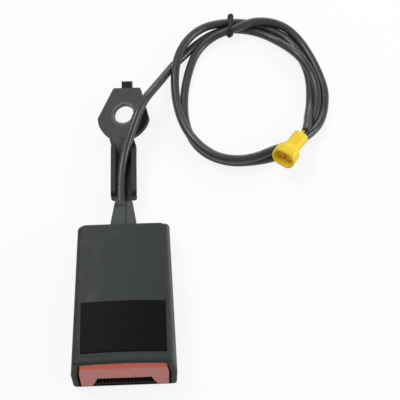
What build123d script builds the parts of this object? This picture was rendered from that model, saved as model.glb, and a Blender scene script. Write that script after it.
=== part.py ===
from build123d import *
import os
from math import cos, pi, radians, sin, sqrt, tan

# Seat belt buckle with an end-release button, a stamped anchor strap and a switch lead.
# Millimetres. The buckle lies on its rear cover: +Z is up, -Y is the button end, +Y the anchor end,
# and the origin is under the middle of the buckle, without its lead.

# ---- covers -----------------------------------------------------------------------------------
BUTTON_END_Y = -94.0      # rear cover's button end, at its foot
HOUSING_LENGTH = 91.0     # from there to the stalk end, at the parting line
BUTTON_END_WIDTH = 56.0   # at the parting line
WIDTH_FALL = 4.6          # narrower at the stalk end by this
PARTING_Z = 12.0
FACE_EDGE_Z = 24.0        # front face, at its side edges over the button
CROWN = 2.5               # rise of the front face in the middle
FACE_FALL = 1.8           # degrees that the front face falls towards the stalk
SIDE_DRAFT = 8.5          # degrees, of the front cover's sides
REAR_DRAFT = 3.0          # degrees, of the rear cover's sides
END_LEAN = 14.0           # degrees that the button end leans back
STALK_LEAN = 25.0         # degrees that the stalk end leans, above the parting line
SIDE_WALL = 3.2
ROOF_WALL = 2.2
FLOOR_WALL = 2.0
END_WALL = 2.5
MOUTH_CORNER_RADIUS = 1.5
STALK_CORNER_RADIUS = 3.0
FOOT_RADIUS = 3.0
EDGE_RADIUS = 1.6
DISH_LENGTH = 33.0        # shallow finger dish in the front face
DISH_DEPTH = 1.1
DISH_RIM = 4.6            # from the parting line's width in to the dish
DISH_LIP = 4.0            # lip left between the dish and the button
DISH_CORNER_RADIUS = 2.0
DISH_FALL = 1.4           # degrees by which the dish runs out into the face
LABEL_WIDTH = 45.0
LABEL_LENGTH = 28.4
LABEL_SETBACK = 1.4       # from the dish's edge
LABEL_SHIFT = 0.5         # to the right of the middle
LABEL_THICKNESS = 0.4

# ---- running and seating clearances -------------------------------------------------------------
RUNNING_GAP = 0.3         # between pieces that slide past each other
PIN_FIT = 0.05            # radial, pins in their holes
SEAT_FIT = 0.2            # between fixed pieces and their pockets

# ---- tongue slot and its ribbed guide ---------------------------------------------------------
SLOT_WIDTH = 28.5
SLOT_FLARE = 2.6          # how much wider the slot is at its foot, each side
SLOT_TOP_Z = 9.0
GUIDE_TOP_Z = 4.4
GUIDE_BASE = 1.5
GUIDE_SETBACK = 0.7       # of the ribs from the button end
GUIDE_RIBS = 18
GUIDE_RIB_WIDTH = 0.9

# ---- latch frame ------------------------------------------------------------------------------
FRAME_GAUGE = 2.2
SIDE_SPACE = 12.0         # from the covers' widest side in to the frame
FRAME_FRONT_Y = -80.0
FRAME_SETBACK = 11.0      # of its end from the stalk end
FRAME_TOP_Z = 19.6
FRAME_LOW_Z = 10.0
RIVET_SETBACK = 7.0       # from the frame's end
RIVET_RADIUS = 3.5
RIVET_HEAD_RADIUS = 6.0
RIVET_HEAD = 2.0
SPRING_TAB_SETBACK = 3.0  # from the strap's paddle
SPRING_TAB = 1.6

# ---- latch, its pin and its lock bar ------------------------------------------------------------
PIVOT_Y = -40.0
PIVOT_Z = 12.8
PIN_RADIUS = 2.0
LATCH_SWING = 9.5         # degrees, nose down into the tongue's window
LATCH_SIDE_ROOM = 1.3     # beside the latch in the frame
LATCH_GAUGE = 2.4
LATCH_ARM_Z = 11.6        # underside of the raised arm
NOSE_WIDTH = 12.0
NOSE_LENGTH = 6.0
NOSE_FOOT_Z = 7.9
ARM_REACH = 30.0          # from the pivot to the tip of the nose
KNUCKLE_RADIUS = 4.0
KNUCKLE_GAP = 11.0        # between the two knuckles
LEG_WIDTH = 3.4
LEG_GAUGE = 3.1
LEG_FOOT_Z = 5.0
CAM_START = 8.6           # from the pivot to where the locking ramp starts
CAM_TOP = 11.9
CAM_END = 15.0
CAM_RISE = 1.7
LOCK_BAR_RADIUS = 2.0
LOCK_BAR_OFFSET = 8.0     # from the pivot to the bar, in the unlatched state
LOCK_BAR_TRAVEL = 3.5

# ---- ejector ----------------------------------------------------------------------------------
EJECTOR_FRONT_Y = -74.0
EJECTOR_LENGTH = 21.0
EJECTOR_TRAVEL = 12.0
EJECTOR_TOP_Z = 7.5
FORK_WIDTH = 14.0
FORK_DEPTH = 11.0
LUG_REACH = 5.2           # beyond the ejector's side, through the frame
LUG_LENGTH = 4.0
LUG_HEIGHT = 2.2
LUG_SETBACK = 14.0        # from the ejector's front

# ---- push button ------------------------------------------------------------------------------
BUTTON_TRAVEL = 5.0
BUTTON_RECESS = 0.6
BUTTON_GAP = 0.45         # around the button in the mouth
BUTTON_WALL = 2.4
BUTTON_DEPTH = 14.0
BUTTON_EDGE_RADIUS = 1.8
ARM_GAUGE = 2.0
ARM_FOOT_Z = 9.2
ARM_TOP_Z = 18.6
ARM_END_Y = -43.4

# ---- springs ----------------------------------------------------------------------------------
EJECTOR_SPRING_RADIUS = 1.45
EJECTOR_SPRING_WIRE = 0.5
EJECTOR_SPRING_TURNS = 8
BUTTON_SPRING_RADIUS = 1.6
BUTTON_SPRING_WIRE = 0.5
BUTTON_SPRING_TURNS = 6
BUTTON_SPRING_OFFSET = 2.6   # outside the button's arms
BUTTON_SPRING_Z = 11.0
SPRING_STOP_Y = -72.0
SPRING_STOP = 2.4
LATCH_SPRING_WIRE = 0.8
LATCH_SPRING_TURNS = 4
LATCH_SPRING_LEG = 9.0
SPRING_CONTACT = 0.1      # left between a spring and what it presses on

# ---- anchor strap -----------------------------------------------------------------------------
STRAP_GAUGE = 3.0
PADDLE_SIDE_ROOM = 1.8
PADDLE_LENGTH = 18.0
NECK_WIDTH = 8.8
SHANK_WIDTH = 14.8
SHANK_SETBACK = 19.4      # from the stalk end
SHANK_LENGTH = 33.6
FLANGE_HEIGHT = 5.6       # above the shank's floor
FLANGE_CORNER_RADIUS = 3.0
HOLE_REACH = 22.6         # from the shank's end
HOLE_RISE = 3.2           # of the plate's top at the hole, above the shank's floor
HOLE_DIAMETER = 12.0
PLATE_YAW = -7.0          # degrees
PLATE_PITCH = 7.6
PLATE_TWIST = 12.1
PLATE_RADIUS = 16.1       # round the lower side of the plate
PLATE_TOP_WIDTH = 16.8
PLATE_TOP = 17.2          # from the hole's centre to the plate's top edge
PLATE_CORNER_DROP = 3.0   # from the hole's centre down to the widest corners
PLATE_CORNER_RADIUS = 3.0
TOP_CORNER_RADIUS = 1.0
TAB_WIDTH = 6.3
TAB_LENGTH = 4.0
TAB_BEND = 28.0           # degrees up

# ---- boot -------------------------------------------------------------------------------------
BOOT_BASE_WIDTH = 14.6
BOOT_TIP_WIDTH = 9.8
BOOT_LENGTH = 15.0        # outside the covers
BOOT_BASE_HEIGHT = 8.2
BOOT_TIP_HEIGHT = 5.2
BOOT_INSIDE = 5.0         # length inside the housing
BOOT_COLLAR = 1.0         # collar that the covers trap
OPENING_REACH = (12.0, 6.0)   # of the covers' opening, inside and outside their end wall
CABLE_X = -1.8
CABLE_SETBACK = 1.6       # of its exit from the boot's tip

# ---- switch -----------------------------------------------------------------------------------
SWITCH_SETBACK = 3.7      # behind the plunger's tip
SWITCH_LENGTH = 16.0
SWITCH_TOP_Z = 8.6
SWITCH_WIDTH = 4.8
PLUNGER_WIDTH = 2.4
PLUNGER_LENGTH = 9.0
PLUNGER_TRAVEL = 2.0
TERMINAL_WIDTH = 1.6
TERMINAL_GAUGE = 0.6
TERMINAL_LENGTH = 5.0
WIRE_DIAMETER = 1.3
WIRE_SLACK = 5.0          # from the blades to where the wires turn over the frame's wall

# ---- snap posts -------------------------------------------------------------------------------
POST_RADIUS = 2.0
POST_PIN_RADIUS = 1.1
POST_PIN_DEPTH = 6.0
FRONT_POST_OFFSET = 22.0  # from the latch's pivot
BACK_POST_OFFSET = 7.0    # from the stalk end
BACK_POST_ROOM = 0.9      # beside the covers' wall
RIB_GAUGE = 1.4           # of the front cover's ribs over the frame's walls
RIB_LENGTH = 26.0

# ---- cable, coil and connector --------------------------------------------------------------------
CABLE_DIAMETER = 5.2
# Points that the free cable turns at, by hand, from the boot to the coil; y is from the stalk end.
CABLE_ROUTE = [
    (-1.8, 24.0, 10.6),
    (-1.5, 33.5, 10.7),
    (-0.2, 43.0, 11.6),
    (2.3, 52.0, 14.0),
    (5.6, 61.0, 17.2),
    (9.2, 70.5, 19.6),
    (13.8, 80.5, 19.0),
    (18.9, 90.0, 15.2),
    (23.2, 99.2, 10.4),
    (26.8, 107.2, 6.2),
    (30.3, 113.8, 3.6),
]
COIL_CENTRE = (77.2, 92.7)   # y is from the stalk end, as for the connector
COIL_LAYERS = 2
# Radii of the coil's outer and inner edges, every 30 degrees clockwise from +Y.
COIL_OUTER = [54.4, 55.0, 49.6, 48.3, 49.8, 52.6, 54.2, 56.4, 50.6, 47.8, 53.0, 56.6]
COIL_INNER = [43.6, 40.4, 36.6, 34.8, 37.6, 39.6, 43.6, 44.6, 41.0, 37.0, 40.0, 43.6]
TIE_ANGLE = -11.0         # degrees clockwise from +Y
TIE_WIDTH = 3.0
TIE_GAUGE = 0.9
TIE_TAIL = 3.4
CONNECTOR_TAIL = (104.9, 53.8)   # rear end of the connector's body, on its axis
CONNECTOR_HEADING = 233.0 # degrees, from +X, that its mouth faces
CONNECTOR_BODY_WIDTH = 10.0
CONNECTOR_BODY_HEIGHT = 8.0
CONNECTOR_BODY_LENGTH = 12.0
CONNECTOR_HEAD_WIDTH = 14.4
CONNECTOR_HEAD_HEIGHT = 10.6
CONNECTOR_HEAD_LENGTH = 10.0
CONNECTOR_WALL = 1.3
CONNECTOR_FLOOR = 1.6     # behind the mouth's pocket
RETAINER_RIB = 3.2
STUB_LENGTH = 4.0


# ---- values that follow -------------------------------------------------------------------------
STALK_END_Y = BUTTON_END_Y + HOUSING_LENGTH
STALK_END_WIDTH = BUTTON_END_WIDTH - WIDTH_FALL
FACE_LIP_Y = BUTTON_END_Y + FACE_EDGE_Z * tan(radians(END_LEAN))
FLOOR_Z = FLOOR_WALL
BASE_TOP_Z = FLOOR_Z + FRAME_GAUGE
STRAP_TOP_Z = BASE_TOP_Z + STRAP_GAUGE
FRAME_WIDTH = BUTTON_END_WIDTH - 2 * SIDE_SPACE
FRAME_INSIDE = FRAME_WIDTH - 2 * FRAME_GAUGE
FRAME_BACK_Y = STALK_END_Y - FRAME_SETBACK
RIVET_Y = FRAME_BACK_Y - RIVET_SETBACK
SPRING_TAB_Y = RIVET_Y - PADDLE_LENGTH / 2 - SPRING_TAB_SETBACK
LATCH_WIDTH = FRAME_INSIDE - 2 * LATCH_SIDE_ROOM
PADDLE_WIDTH = FRAME_INSIDE - 2 * PADDLE_SIDE_ROOM
SHANK_START_Y = STALK_END_Y + SHANK_SETBACK
SHANK_END_Y = SHANK_START_Y + SHANK_LENGTH
HOLE_Y = SHANK_END_Y + HOLE_REACH
ARM_INSIDE_X = FRAME_WIDTH / 2 + RUNNING_GAP
BUTTON_SPRING_X = ARM_INSIDE_X + ARM_GAUGE + BUTTON_SPRING_OFFSET
LOCK_BAR_Y = PIVOT_Y - LOCK_BAR_OFFSET
LATCH_TOP_Z = LATCH_ARM_Z + LATCH_GAUGE
LOCK_BAR_Z = LATCH_TOP_Z + RUNNING_GAP + LOCK_BAR_RADIUS
EJECTOR_BACK_Y = EJECTOR_FRONT_Y + EJECTOR_LENGTH
LATCH_SPRING_RADIUS = PIN_RADIUS + PIN_FIT + LATCH_SPRING_WIRE / 2 + SPRING_CONTACT
EJECTOR_FOOT_Z = BASE_TOP_Z + RUNNING_GAP
EJECTOR_WIDTH = FRAME_INSIDE - 2 * RUNNING_GAP
LUG_Y = EJECTOR_FRONT_Y + LUG_SETBACK + LUG_LENGTH / 2
LUG_Z = EJECTOR_FOOT_Z + RUNNING_GAP + LUG_HEIGHT / 2
LUG_TIP_X = EJECTOR_WIDTH / 2 + LUG_REACH
PLUNGER_TIP_Y = LUG_Y + LUG_LENGTH / 2 + EJECTOR_TRAVEL - PLUNGER_TRAVEL + RUNNING_GAP
SWITCH_FRONT_Y = PLUNGER_TIP_Y + SWITCH_SETBACK
SWITCH_X = -(ARM_INSIDE_X + SWITCH_WIDTH / 2)
POST_PLACES = [
    (BUTTON_SPRING_X, PIVOT_Y - FRONT_POST_OFFSET),
    (STALK_END_WIDTH / 2 - SIDE_WALL - POST_RADIUS - BACK_POST_ROOM, STALK_END_Y - BACK_POST_OFFSET),
]
RIB_SPAN = (PIVOT_Y - RIB_LENGTH + PIN_RADIUS, PIVOT_Y + PIN_RADIUS)
BOOT_BASE_Y = STALK_END_Y
BOOT_TIP_Y = STALK_END_Y + BOOT_LENGTH
PLATE_NECK_Y = -sqrt(PLATE_RADIUS**2 - (SHANK_WIDTH / 2) ** 2) - 1   # in the plate's own frame
CABLE_Z = STRAP_TOP_Z + CABLE_DIAMETER / 2 + 0.9
CABLE_EXIT_Y = BOOT_TIP_Y - CABLE_SETBACK
CABLE_EXIT = (CABLE_X, CABLE_EXIT_Y, CABLE_Z)
COIL_X = COIL_CENTRE[0]
COIL_Y = STALK_END_Y + COIL_CENTRE[1]
COIL_HEIGHT = COIL_LAYERS * CABLE_DIAMETER
TIE_SPAN = max(COIL_OUTER) - min(COIL_INNER)
BIG = 400.0


# ---- small helpers ------------------------------------------------------------------------------
def block(x, y, z):
    """A box from three (low, high) pairs."""
    size = [high - low for low, high in (x, y, z)]
    middle = [(high + low) / 2 for low, high in (x, y, z)]
    return Pos(*middle) * Box(*size)


def side_profile(points, width, x=0):
    """A solid of a (y, z) outline, width thick, centred on x."""
    face = Plane.YZ * make_face(Polyline(*points, close=True))
    return Pos(x - width / 2, 0, 0) * extrude(face, width, dir=(1, 0, 0))


def cross_rod(radius, length, y, z, x=0):
    """A cylinder along X."""
    return Pos(x, y, z) * Rot(0, 90, 0) * Cylinder(radius, length)


def both_sides(solid):
    """A solid and its mirror image in the middle plane."""
    return solid + mirror(solid, Plane.YZ)


def helix_spring(radius, wire, turns, length):
    """A helix of six-sided wire along +Z from the origin."""
    path = Helix(pitch=length / turns, height=length, radius=radius)
    section = Plane(origin=path @ 0, z_dir=path % 0) * RegularPolygon(wire / 2, 6)
    return sweep(section, path=path)


def wire_run(start, end, diameter):
    """A straight round wire with rounded ends."""
    along = Vector(*end) - Vector(*start)
    rod = Plane(origin=start, z_dir=along) * extrude(Circle(diameter / 2), along.length)
    return rod + Pos(*start) * Sphere(diameter / 2) + Pos(*end) * Sphere(diameter / 2)


# ---- the covers' common form ----------------------------------------------------------------------
def cover_plan(z, side, front, back):
    """The covers' rounded outline at height z, drawn in by side, front and back."""
    draft = SIDE_DRAFT if z > PARTING_Z else REAR_DRAFT
    narrowing = abs(z - PARTING_Z) * tan(radians(draft)) + side
    low_y = BUTTON_END_Y + z * tan(radians(END_LEAN)) + front
    lean = STALK_LEAN if z > PARTING_Z else REAR_DRAFT
    high_y = STALK_END_Y - abs(z - PARTING_Z) * tan(radians(lean)) - back
    taper = WIDTH_FALL / 2 / HOUSING_LENGTH
    near, far = (
        BUTTON_END_WIDTH / 2 - narrowing - (y - BUTTON_END_Y) * taper for y in (low_y, high_y)
    )
    outline = make_face(
        Polyline((-near, low_y), (near, low_y), (far, high_y), (-far, high_y), close=True)
    )
    corners = outline.vertices().sort_by(Axis.Y)
    outline = fillet(corners[:2], MOUTH_CORNER_RADIUS)
    outline = fillet(outline.vertices().sort_by(Axis.Y)[-2:], STALK_CORNER_RADIUS)
    return Pos(0, 0, z) * outline


def under_face(drop, fall=FACE_FALL):
    """Everything under the crowned front face lowered by drop."""
    half = BUTTON_END_WIDTH / 2
    radius = (half**2 + CROWN**2) / (2 * CROWN)
    top = FACE_EDGE_Z + CROWN
    barrel = Pos(0, 0, -radius) * Rot(90, 0, 0) * Cylinder(radius - drop, BIG)
    return Pos(0, FACE_LIP_Y, top) * Rot(-fall, 0, 0) * barrel


def cover_form(side=0.0, roof=0.0, foot=0.0, front=0.0, back=0.0):
    """The covers' outside form, drawn in by the given walls."""
    cap = FACE_EDGE_Z + CROWN + 2
    heights = (foot, PARTING_Z, cap)
    plans = [cover_plan(z, side, front, back) for z in heights]
    return loft(plans, ruled=True) & under_face(roof)


def outer_form():
    form = cover_form()
    face_edges = form.edges().filter_by(lambda e: min(v.Z for v in e.vertices()) > FACE_EDGE_Z - 5)
    form = fillet(face_edges, EDGE_RADIUS)
    foot = form.edges().filter_by(lambda e: max(v.Z for v in e.vertices()) < 0.1)
    return fillet(foot, FOOT_RADIUS)


def cavity(side_gap=0.0, roof_gap=0.0, floor_gap=0.0, front=-9.0):
    """The space inside the covers, drawn in by the given gaps; it opens at the button end."""
    return cover_form(
        SIDE_WALL + side_gap, ROOF_WALL + roof_gap, FLOOR_WALL + floor_gap, front, END_WALL + roof_gap
    )


def boot_opening():
    """What the covers' stalk end is cut by for the boot and the strap's neck."""
    ends = (STALK_END_Y - END_WALL - OPENING_REACH[0], STALK_END_Y + OPENING_REACH[1])
    half = BOOT_BASE_WIDTH / 2 + SEAT_FIT
    boot = block((-half, half), ends, (STRAP_TOP_Z, STRAP_TOP_Z + BOOT_BASE_HEIGHT + SEAT_FIT))
    half = NECK_WIDTH / 2 + SEAT_FIT
    neck = block((-half, half), ends, (BASE_TOP_Z - SEAT_FIT, STRAP_TOP_Z + 1))
    return boot + neck


def post_places():
    return [(side * x, y) for x, y in POST_PLACES for side in (-1, 1)]


def rear_cover():
    shell = (outer_form() - cavity()) & block((-BIG, BIG), (-BIG, BIG), (-1, PARTING_Z))
    inside = cavity() & block((-BIG, BIG), (-BIG, BIG), (FLOOR_Z - 1, PARTING_Z))
    for x, y in post_places():
        post = Pos(x, y, (FLOOR_Z + PARTING_Z) / 2) * Cylinder(POST_RADIUS, PARTING_Z - FLOOR_Z)
        shell += post
        hole = Cylinder(POST_PIN_RADIUS + PIN_FIT, POST_PIN_DEPTH)
        shell -= Pos(x, y, PARTING_Z - POST_PIN_DEPTH / 2) * hole
    stop_front = BUTTON_SPRING_X - BUTTON_SPRING_RADIUS - BUTTON_SPRING_WIRE
    stop = block(
        (stop_front, BUTTON_END_WIDTH / 2),
        (SPRING_STOP_Y, SPRING_STOP_Y + SPRING_STOP),
        (FLOOR_Z, BUTTON_SPRING_Z + BUTTON_SPRING_RADIUS / 2),
    )
    shell += both_sides(stop) & inside
    return shell - boot_opening()


def dish():
    """The finger dish: what lies above the lowered face, within the dish's outline."""
    half = BUTTON_END_WIDTH / 2 - DISH_RIM
    middle_y = FACE_LIP_Y + DISH_LIP + DISH_LENGTH / 2
    outline = Pos(0, middle_y) * RectangleRounded(2 * half, DISH_LENGTH, DISH_CORNER_RADIUS)
    column = Pos(0, 0, FACE_EDGE_Z - 6) * extrude(outline, 14)
    return column - under_face(DISH_DEPTH, FACE_FALL - DISH_FALL)


def front_cover():
    shell = (outer_form() - cavity()) & block((-BIG, BIG), (-BIG, BIG), (PARTING_Z, BIG))
    roof = cavity() & block((-BIG, BIG), (-BIG, BIG), (PARTING_Z - POST_PIN_DEPTH, BIG))
    for x, y in post_places():
        pin = Pos(x, y, 0) * Cylinder(POST_PIN_RADIUS, 2 * BIG)
        collar = Pos(x, y, PARTING_Z + BIG) * Cylinder(POST_RADIUS, 2 * BIG)
        post = (pin & roof) + (collar & cavity() & block((-BIG, BIG), (-BIG, BIG), (PARTING_Z, BIG)))
        shell += post & block((-BIG, BIG), (-BIG, BIG), (PARTING_Z - POST_PIN_DEPTH + SEAT_FIT, BIG))
    rib_x = (FRAME_WIDTH - FRAME_GAUGE) / 2
    rib = block((rib_x - RIB_GAUGE / 2, rib_x + RIB_GAUGE / 2), RIB_SPAN, (FRAME_TOP_Z + SEAT_FIT, BIG))
    shell += both_sides(rib) & cavity()
    return shell - dish() - boot_opening()


def face_label():
    middle_y = FACE_LIP_Y + DISH_LIP + LABEL_SETBACK + LABEL_LENGTH / 2
    column = block(
        (LABEL_SHIFT - LABEL_WIDTH / 2, LABEL_SHIFT + LABEL_WIDTH / 2),
        (middle_y - LABEL_LENGTH / 2, middle_y + LABEL_LENGTH / 2),
        (FACE_EDGE_Z - 6, BIG),
    )
    top = under_face(DISH_DEPTH - LABEL_THICKNESS, FACE_FALL - DISH_FALL)
    return (column & top) - under_face(DISH_DEPTH, FACE_FALL - DISH_FALL)


# ---- tongue slot ----------------------------------------------------------------------------------
def slot_guide():
    """Ribbed lead-in under the tongue, its ribs along the tongue's way in."""
    width = SLOT_WIDTH + 2 * SLOT_FLARE - 4 * RUNNING_GAP
    front = BUTTON_END_Y + GUIDE_TOP_Z * tan(radians(END_LEAN)) + GUIDE_SETBACK
    span = (front, FRAME_FRONT_Y - SEAT_FIT)
    guide = block((-width / 2, width / 2), span, (FLOOR_Z, FLOOR_Z + GUIDE_BASE))
    pitch = width / GUIDE_RIBS
    rib_z = (FLOOR_Z + GUIDE_BASE / 2, GUIDE_TOP_Z)
    for number in range(GUIDE_RIBS):
        x = -width / 2 + pitch * (number + 0.5)
        guide += block((x - GUIDE_RIB_WIDTH / 2, x + GUIDE_RIB_WIDTH / 2), span, rib_z)
    return guide


# ---- latch frame and its rivet --------------------------------------------------------------------
def latch_frame():
    base = block((-FRAME_WIDTH / 2, FRAME_WIDTH / 2), (FRAME_FRONT_Y, FRAME_BACK_Y), (FLOOR_Z, BASE_TOP_Z))
    crest = (PIVOT_Y - ARM_REACH, PIVOT_Y + 2 * KNUCKLE_RADIUS)
    wall = side_profile(
        [
            (FRAME_FRONT_Y, FLOOR_Z),
            (FRAME_FRONT_Y, FRAME_LOW_Z),
            (crest[0], FRAME_LOW_Z),
            (crest[0] + 6, FRAME_TOP_Z),
            (crest[1] - 6, FRAME_TOP_Z),
            (crest[1], FRAME_LOW_Z),
            (FRAME_BACK_Y, FRAME_LOW_Z),
            (FRAME_BACK_Y, FLOOR_Z),
        ],
        FRAME_GAUGE,
        (FRAME_WIDTH - FRAME_GAUGE) / 2,
    )
    frame = base + both_sides(wall)
    through = (-BIG, BIG)
    nose_reach = (PIVOT_Y - ARM_REACH - 1, PIVOT_Y - ARM_REACH + NOSE_LENGTH + 1.6)
    frame -= block((-NOSE_WIDTH / 2 - 1, NOSE_WIDTH / 2 + 1), nose_reach, (0, BASE_TOP_Z + 1))
    frame -= cross_rod(PIN_RADIUS + PIN_FIT, BIG, PIVOT_Y, PIVOT_Z)
    bar = LOCK_BAR_RADIUS + RUNNING_GAP
    bar_y = (LOCK_BAR_Y - LOCK_BAR_TRAVEL, LOCK_BAR_Y)
    frame -= block(through, bar_y, (LOCK_BAR_Z - bar, LOCK_BAR_Z + bar))
    for y in bar_y:
        frame -= cross_rod(bar, BIG, y, LOCK_BAR_Z)
    lug = LUG_LENGTH / 2 + RUNNING_GAP
    high = LUG_HEIGHT / 2 + RUNNING_GAP
    frame -= block(through, (LUG_Y - lug, LUG_Y + lug + EJECTOR_TRAVEL), (LUG_Z - high, LUG_Z + high))
    frame -= Pos(0, RIVET_Y, FLOOR_Z) * Cylinder(RIVET_RADIUS + PIN_FIT, BIG)
    tab_reach = EJECTOR_SPRING_RADIUS + EJECTOR_SPRING_WIRE + 1
    tab_top = PIVOT_Z - LATCH_SPRING_RADIUS - LATCH_SPRING_WIRE / 2 - SPRING_CONTACT
    tab = block((-tab_reach, tab_reach), (SPRING_TAB_Y, SPRING_TAB_Y + SPRING_TAB), (FLOOR_Z, tab_top))
    return frame + tab


def frame_rivet():
    """Rivet that holds the strap's paddle on the frame, its foot set flush."""
    shank = Pos(0, RIVET_Y, (FLOOR_Z + STRAP_TOP_Z) / 2) * Cylinder(RIVET_RADIUS, STRAP_TOP_Z - FLOOR_Z)
    head = Pos(0, RIVET_Y, STRAP_TOP_Z + RIVET_HEAD / 2) * Cylinder(RIVET_HEAD_RADIUS, RIVET_HEAD)
    head = fillet(head.edges().sort_by(Axis.Z)[-1], RIVET_HEAD * 0.6)
    return shank + head


def latch_pin():
    pin = cross_rod(PIN_RADIUS, FRAME_WIDTH, PIVOT_Y, PIVOT_Z)
    return chamfer(pin.edges().filter_by(GeomType.CIRCLE), 0.3)


# ---- moving pieces of the lock --------------------------------------------------------------------
def latch():
    """Bell crank: an arm with a hooked nose and a locking ramp, two knuckles and two pushed legs."""
    tip = PIVOT_Y - ARM_REACH
    root = PIVOT_Y - KNUCKLE_RADIUS - 1.5
    arm = side_profile(
        [
            (tip, LATCH_ARM_Z),
            (tip, LATCH_TOP_Z - 0.6),
            (tip + 0.6, LATCH_TOP_Z),
            (PIVOT_Y - CAM_END - 1.5, LATCH_TOP_Z),
            (PIVOT_Y - CAM_END, LATCH_TOP_Z + CAM_RISE),
            (PIVOT_Y - CAM_TOP, LATCH_TOP_Z + CAM_RISE),
            (PIVOT_Y - CAM_START, LATCH_TOP_Z),
            (root, LATCH_TOP_Z),
            (root, LATCH_ARM_Z),
        ],
        LATCH_WIDTH,
    )
    nose = side_profile(
        [
            (tip, LATCH_ARM_Z + 1),
            (tip, NOSE_FOOT_Z + 1.6),
            (tip + 1.6, NOSE_FOOT_Z),
            (tip + NOSE_LENGTH, NOSE_FOOT_Z),
            (tip + NOSE_LENGTH, LATCH_ARM_Z + 1),
        ],
        NOSE_WIDTH,
    )
    width = (LATCH_WIDTH - KNUCKLE_GAP) / 2
    middle = (LATCH_WIDTH + KNUCKLE_GAP) / 4
    knuckle = cross_rod(KNUCKLE_RADIUS, width, PIVOT_Y, PIVOT_Z, middle)
    knuckle += block(
        (middle - width / 2, middle + width / 2), (root - 1, PIVOT_Y), (LATCH_ARM_Z, LATCH_TOP_Z)
    )
    leg_x = KNUCKLE_GAP / 2
    leg = block(
        (leg_x, leg_x + LEG_WIDTH), (PIVOT_Y - LEG_GAUGE / 2, PIVOT_Y + LEG_GAUGE / 2), (LEG_FOOT_Z, PIVOT_Z)
    )
    crank = arm + nose + both_sides(knuckle + leg)
    return crank - cross_rod(PIN_RADIUS + PIN_FIT, BIG, PIVOT_Y, PIVOT_Z)


def lock_bar():
    length = 2 * (ARM_INSIDE_X + ARM_GAUGE)
    bar = cross_rod(LOCK_BAR_RADIUS, length, LOCK_BAR_Y, LOCK_BAR_Z)
    return chamfer(bar.edges().filter_by(GeomType.CIRCLE), 0.4)


def ejector():
    """Forked slider that the tongue pushes back, with a lug through each wall of the frame."""
    half = EJECTOR_WIDTH / 2
    slider = block((-half, half), (EJECTOR_FRONT_Y, EJECTOR_BACK_Y), (EJECTOR_FOOT_Z, EJECTOR_TOP_Z))
    slider -= block(
        (-FORK_WIDTH / 2, FORK_WIDTH / 2), (EJECTOR_FRONT_Y - 1, EJECTOR_FRONT_Y + FORK_DEPTH), (0, BIG)
    )
    tips = slider.edges().filter_by(Axis.X).group_by(Axis.Y)[0].group_by(Axis.Z)[-1]
    slider = chamfer(tips, 0.8)
    slider += block(
        (-LUG_TIP_X, LUG_TIP_X),
        (LUG_Y - LUG_LENGTH / 2, LUG_Y + LUG_LENGTH / 2),
        (LUG_Z - LUG_HEIGHT / 2, LUG_Z + LUG_HEIGHT / 2),
    ) - block((-half + 1, half - 1), (-BIG, BIG), (-BIG, BIG))
    return slider


def push_button():
    """Hollow button: an arched face and roof, a notch for the tongue, and two arms to the lock bar."""
    body = cavity(BUTTON_GAP, BUTTON_GAP, RUNNING_GAP, BUTTON_RECESS)
    back_y = BUTTON_END_Y + BUTTON_DEPTH
    body &= block((-BIG, BIG), (-BIG, back_y), (-BIG, BIG))
    high = body.edges().filter_by(lambda e: min(v.Z for v in e.vertices()) > FACE_EDGE_Z - 6)
    rim = high.filter_by(lambda e: min(v.Y for v in e.vertices()) < back_y - 1)
    body = fillet(rim, BUTTON_EDGE_RADIUS)
    hollow = cavity(-8, BUTTON_GAP + BUTTON_WALL, -9, BUTTON_RECESS + BUTTON_WALL)
    body -= hollow
    arm_front = BUTTON_END_Y + ARM_FOOT_Z * tan(radians(END_LEAN)) + BUTTON_RECESS + BUTTON_WALL / 2
    arm = block((ARM_INSIDE_X, ARM_INSIDE_X + ARM_GAUGE), (arm_front, ARM_END_Y), (ARM_FOOT_Z, ARM_TOP_Z))
    face_half = cavity(BUTTON_GAP, BUTTON_GAP, RUNNING_GAP, BUTTON_RECESS + BUTTON_WALL / 2)
    body += both_sides(arm) & face_half
    wide = SLOT_WIDTH / 2 + SLOT_FLARE
    notch = make_face(Polyline(
        (-wide, 0), (wide, 0), (wide, FLOOR_Z + 1), (SLOT_WIDTH / 2, SLOT_TOP_Z),
        (-SLOT_WIDTH / 2, SLOT_TOP_Z), (-wide, FLOOR_Z + 1), close=True,
    ))
    body -= Pos(0, BUTTON_END_Y - 5, 0) * extrude(Plane.XZ * notch, -BUTTON_DEPTH - 5)
    bar = LOCK_BAR_RADIUS + RUNNING_GAP
    slot = (LOCK_BAR_Y - LOCK_BAR_TRAVEL - BUTTON_TRAVEL, LOCK_BAR_Y)
    body -= block((-BIG, BIG), slot, (LOCK_BAR_Z - bar, LOCK_BAR_Z + bar))
    for y in slot:
        body -= cross_rod(bar, BIG, y, LOCK_BAR_Z)
    return body


# ---- springs --------------------------------------------------------------------------------------
def ejector_spring():
    reach = SPRING_TAB_Y - EJECTOR_BACK_Y - EJECTOR_SPRING_WIRE - 2 * SPRING_CONTACT
    spring = helix_spring(EJECTOR_SPRING_RADIUS, EJECTOR_SPRING_WIRE, EJECTOR_SPRING_TURNS, reach)
    z = BASE_TOP_Z + RUNNING_GAP / 2 + EJECTOR_SPRING_RADIUS + EJECTOR_SPRING_WIRE / 2
    return Pos(0, EJECTOR_BACK_Y + EJECTOR_SPRING_WIRE / 2 + SPRING_CONTACT, z) * Rot(-90, 0, 0) * spring


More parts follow.
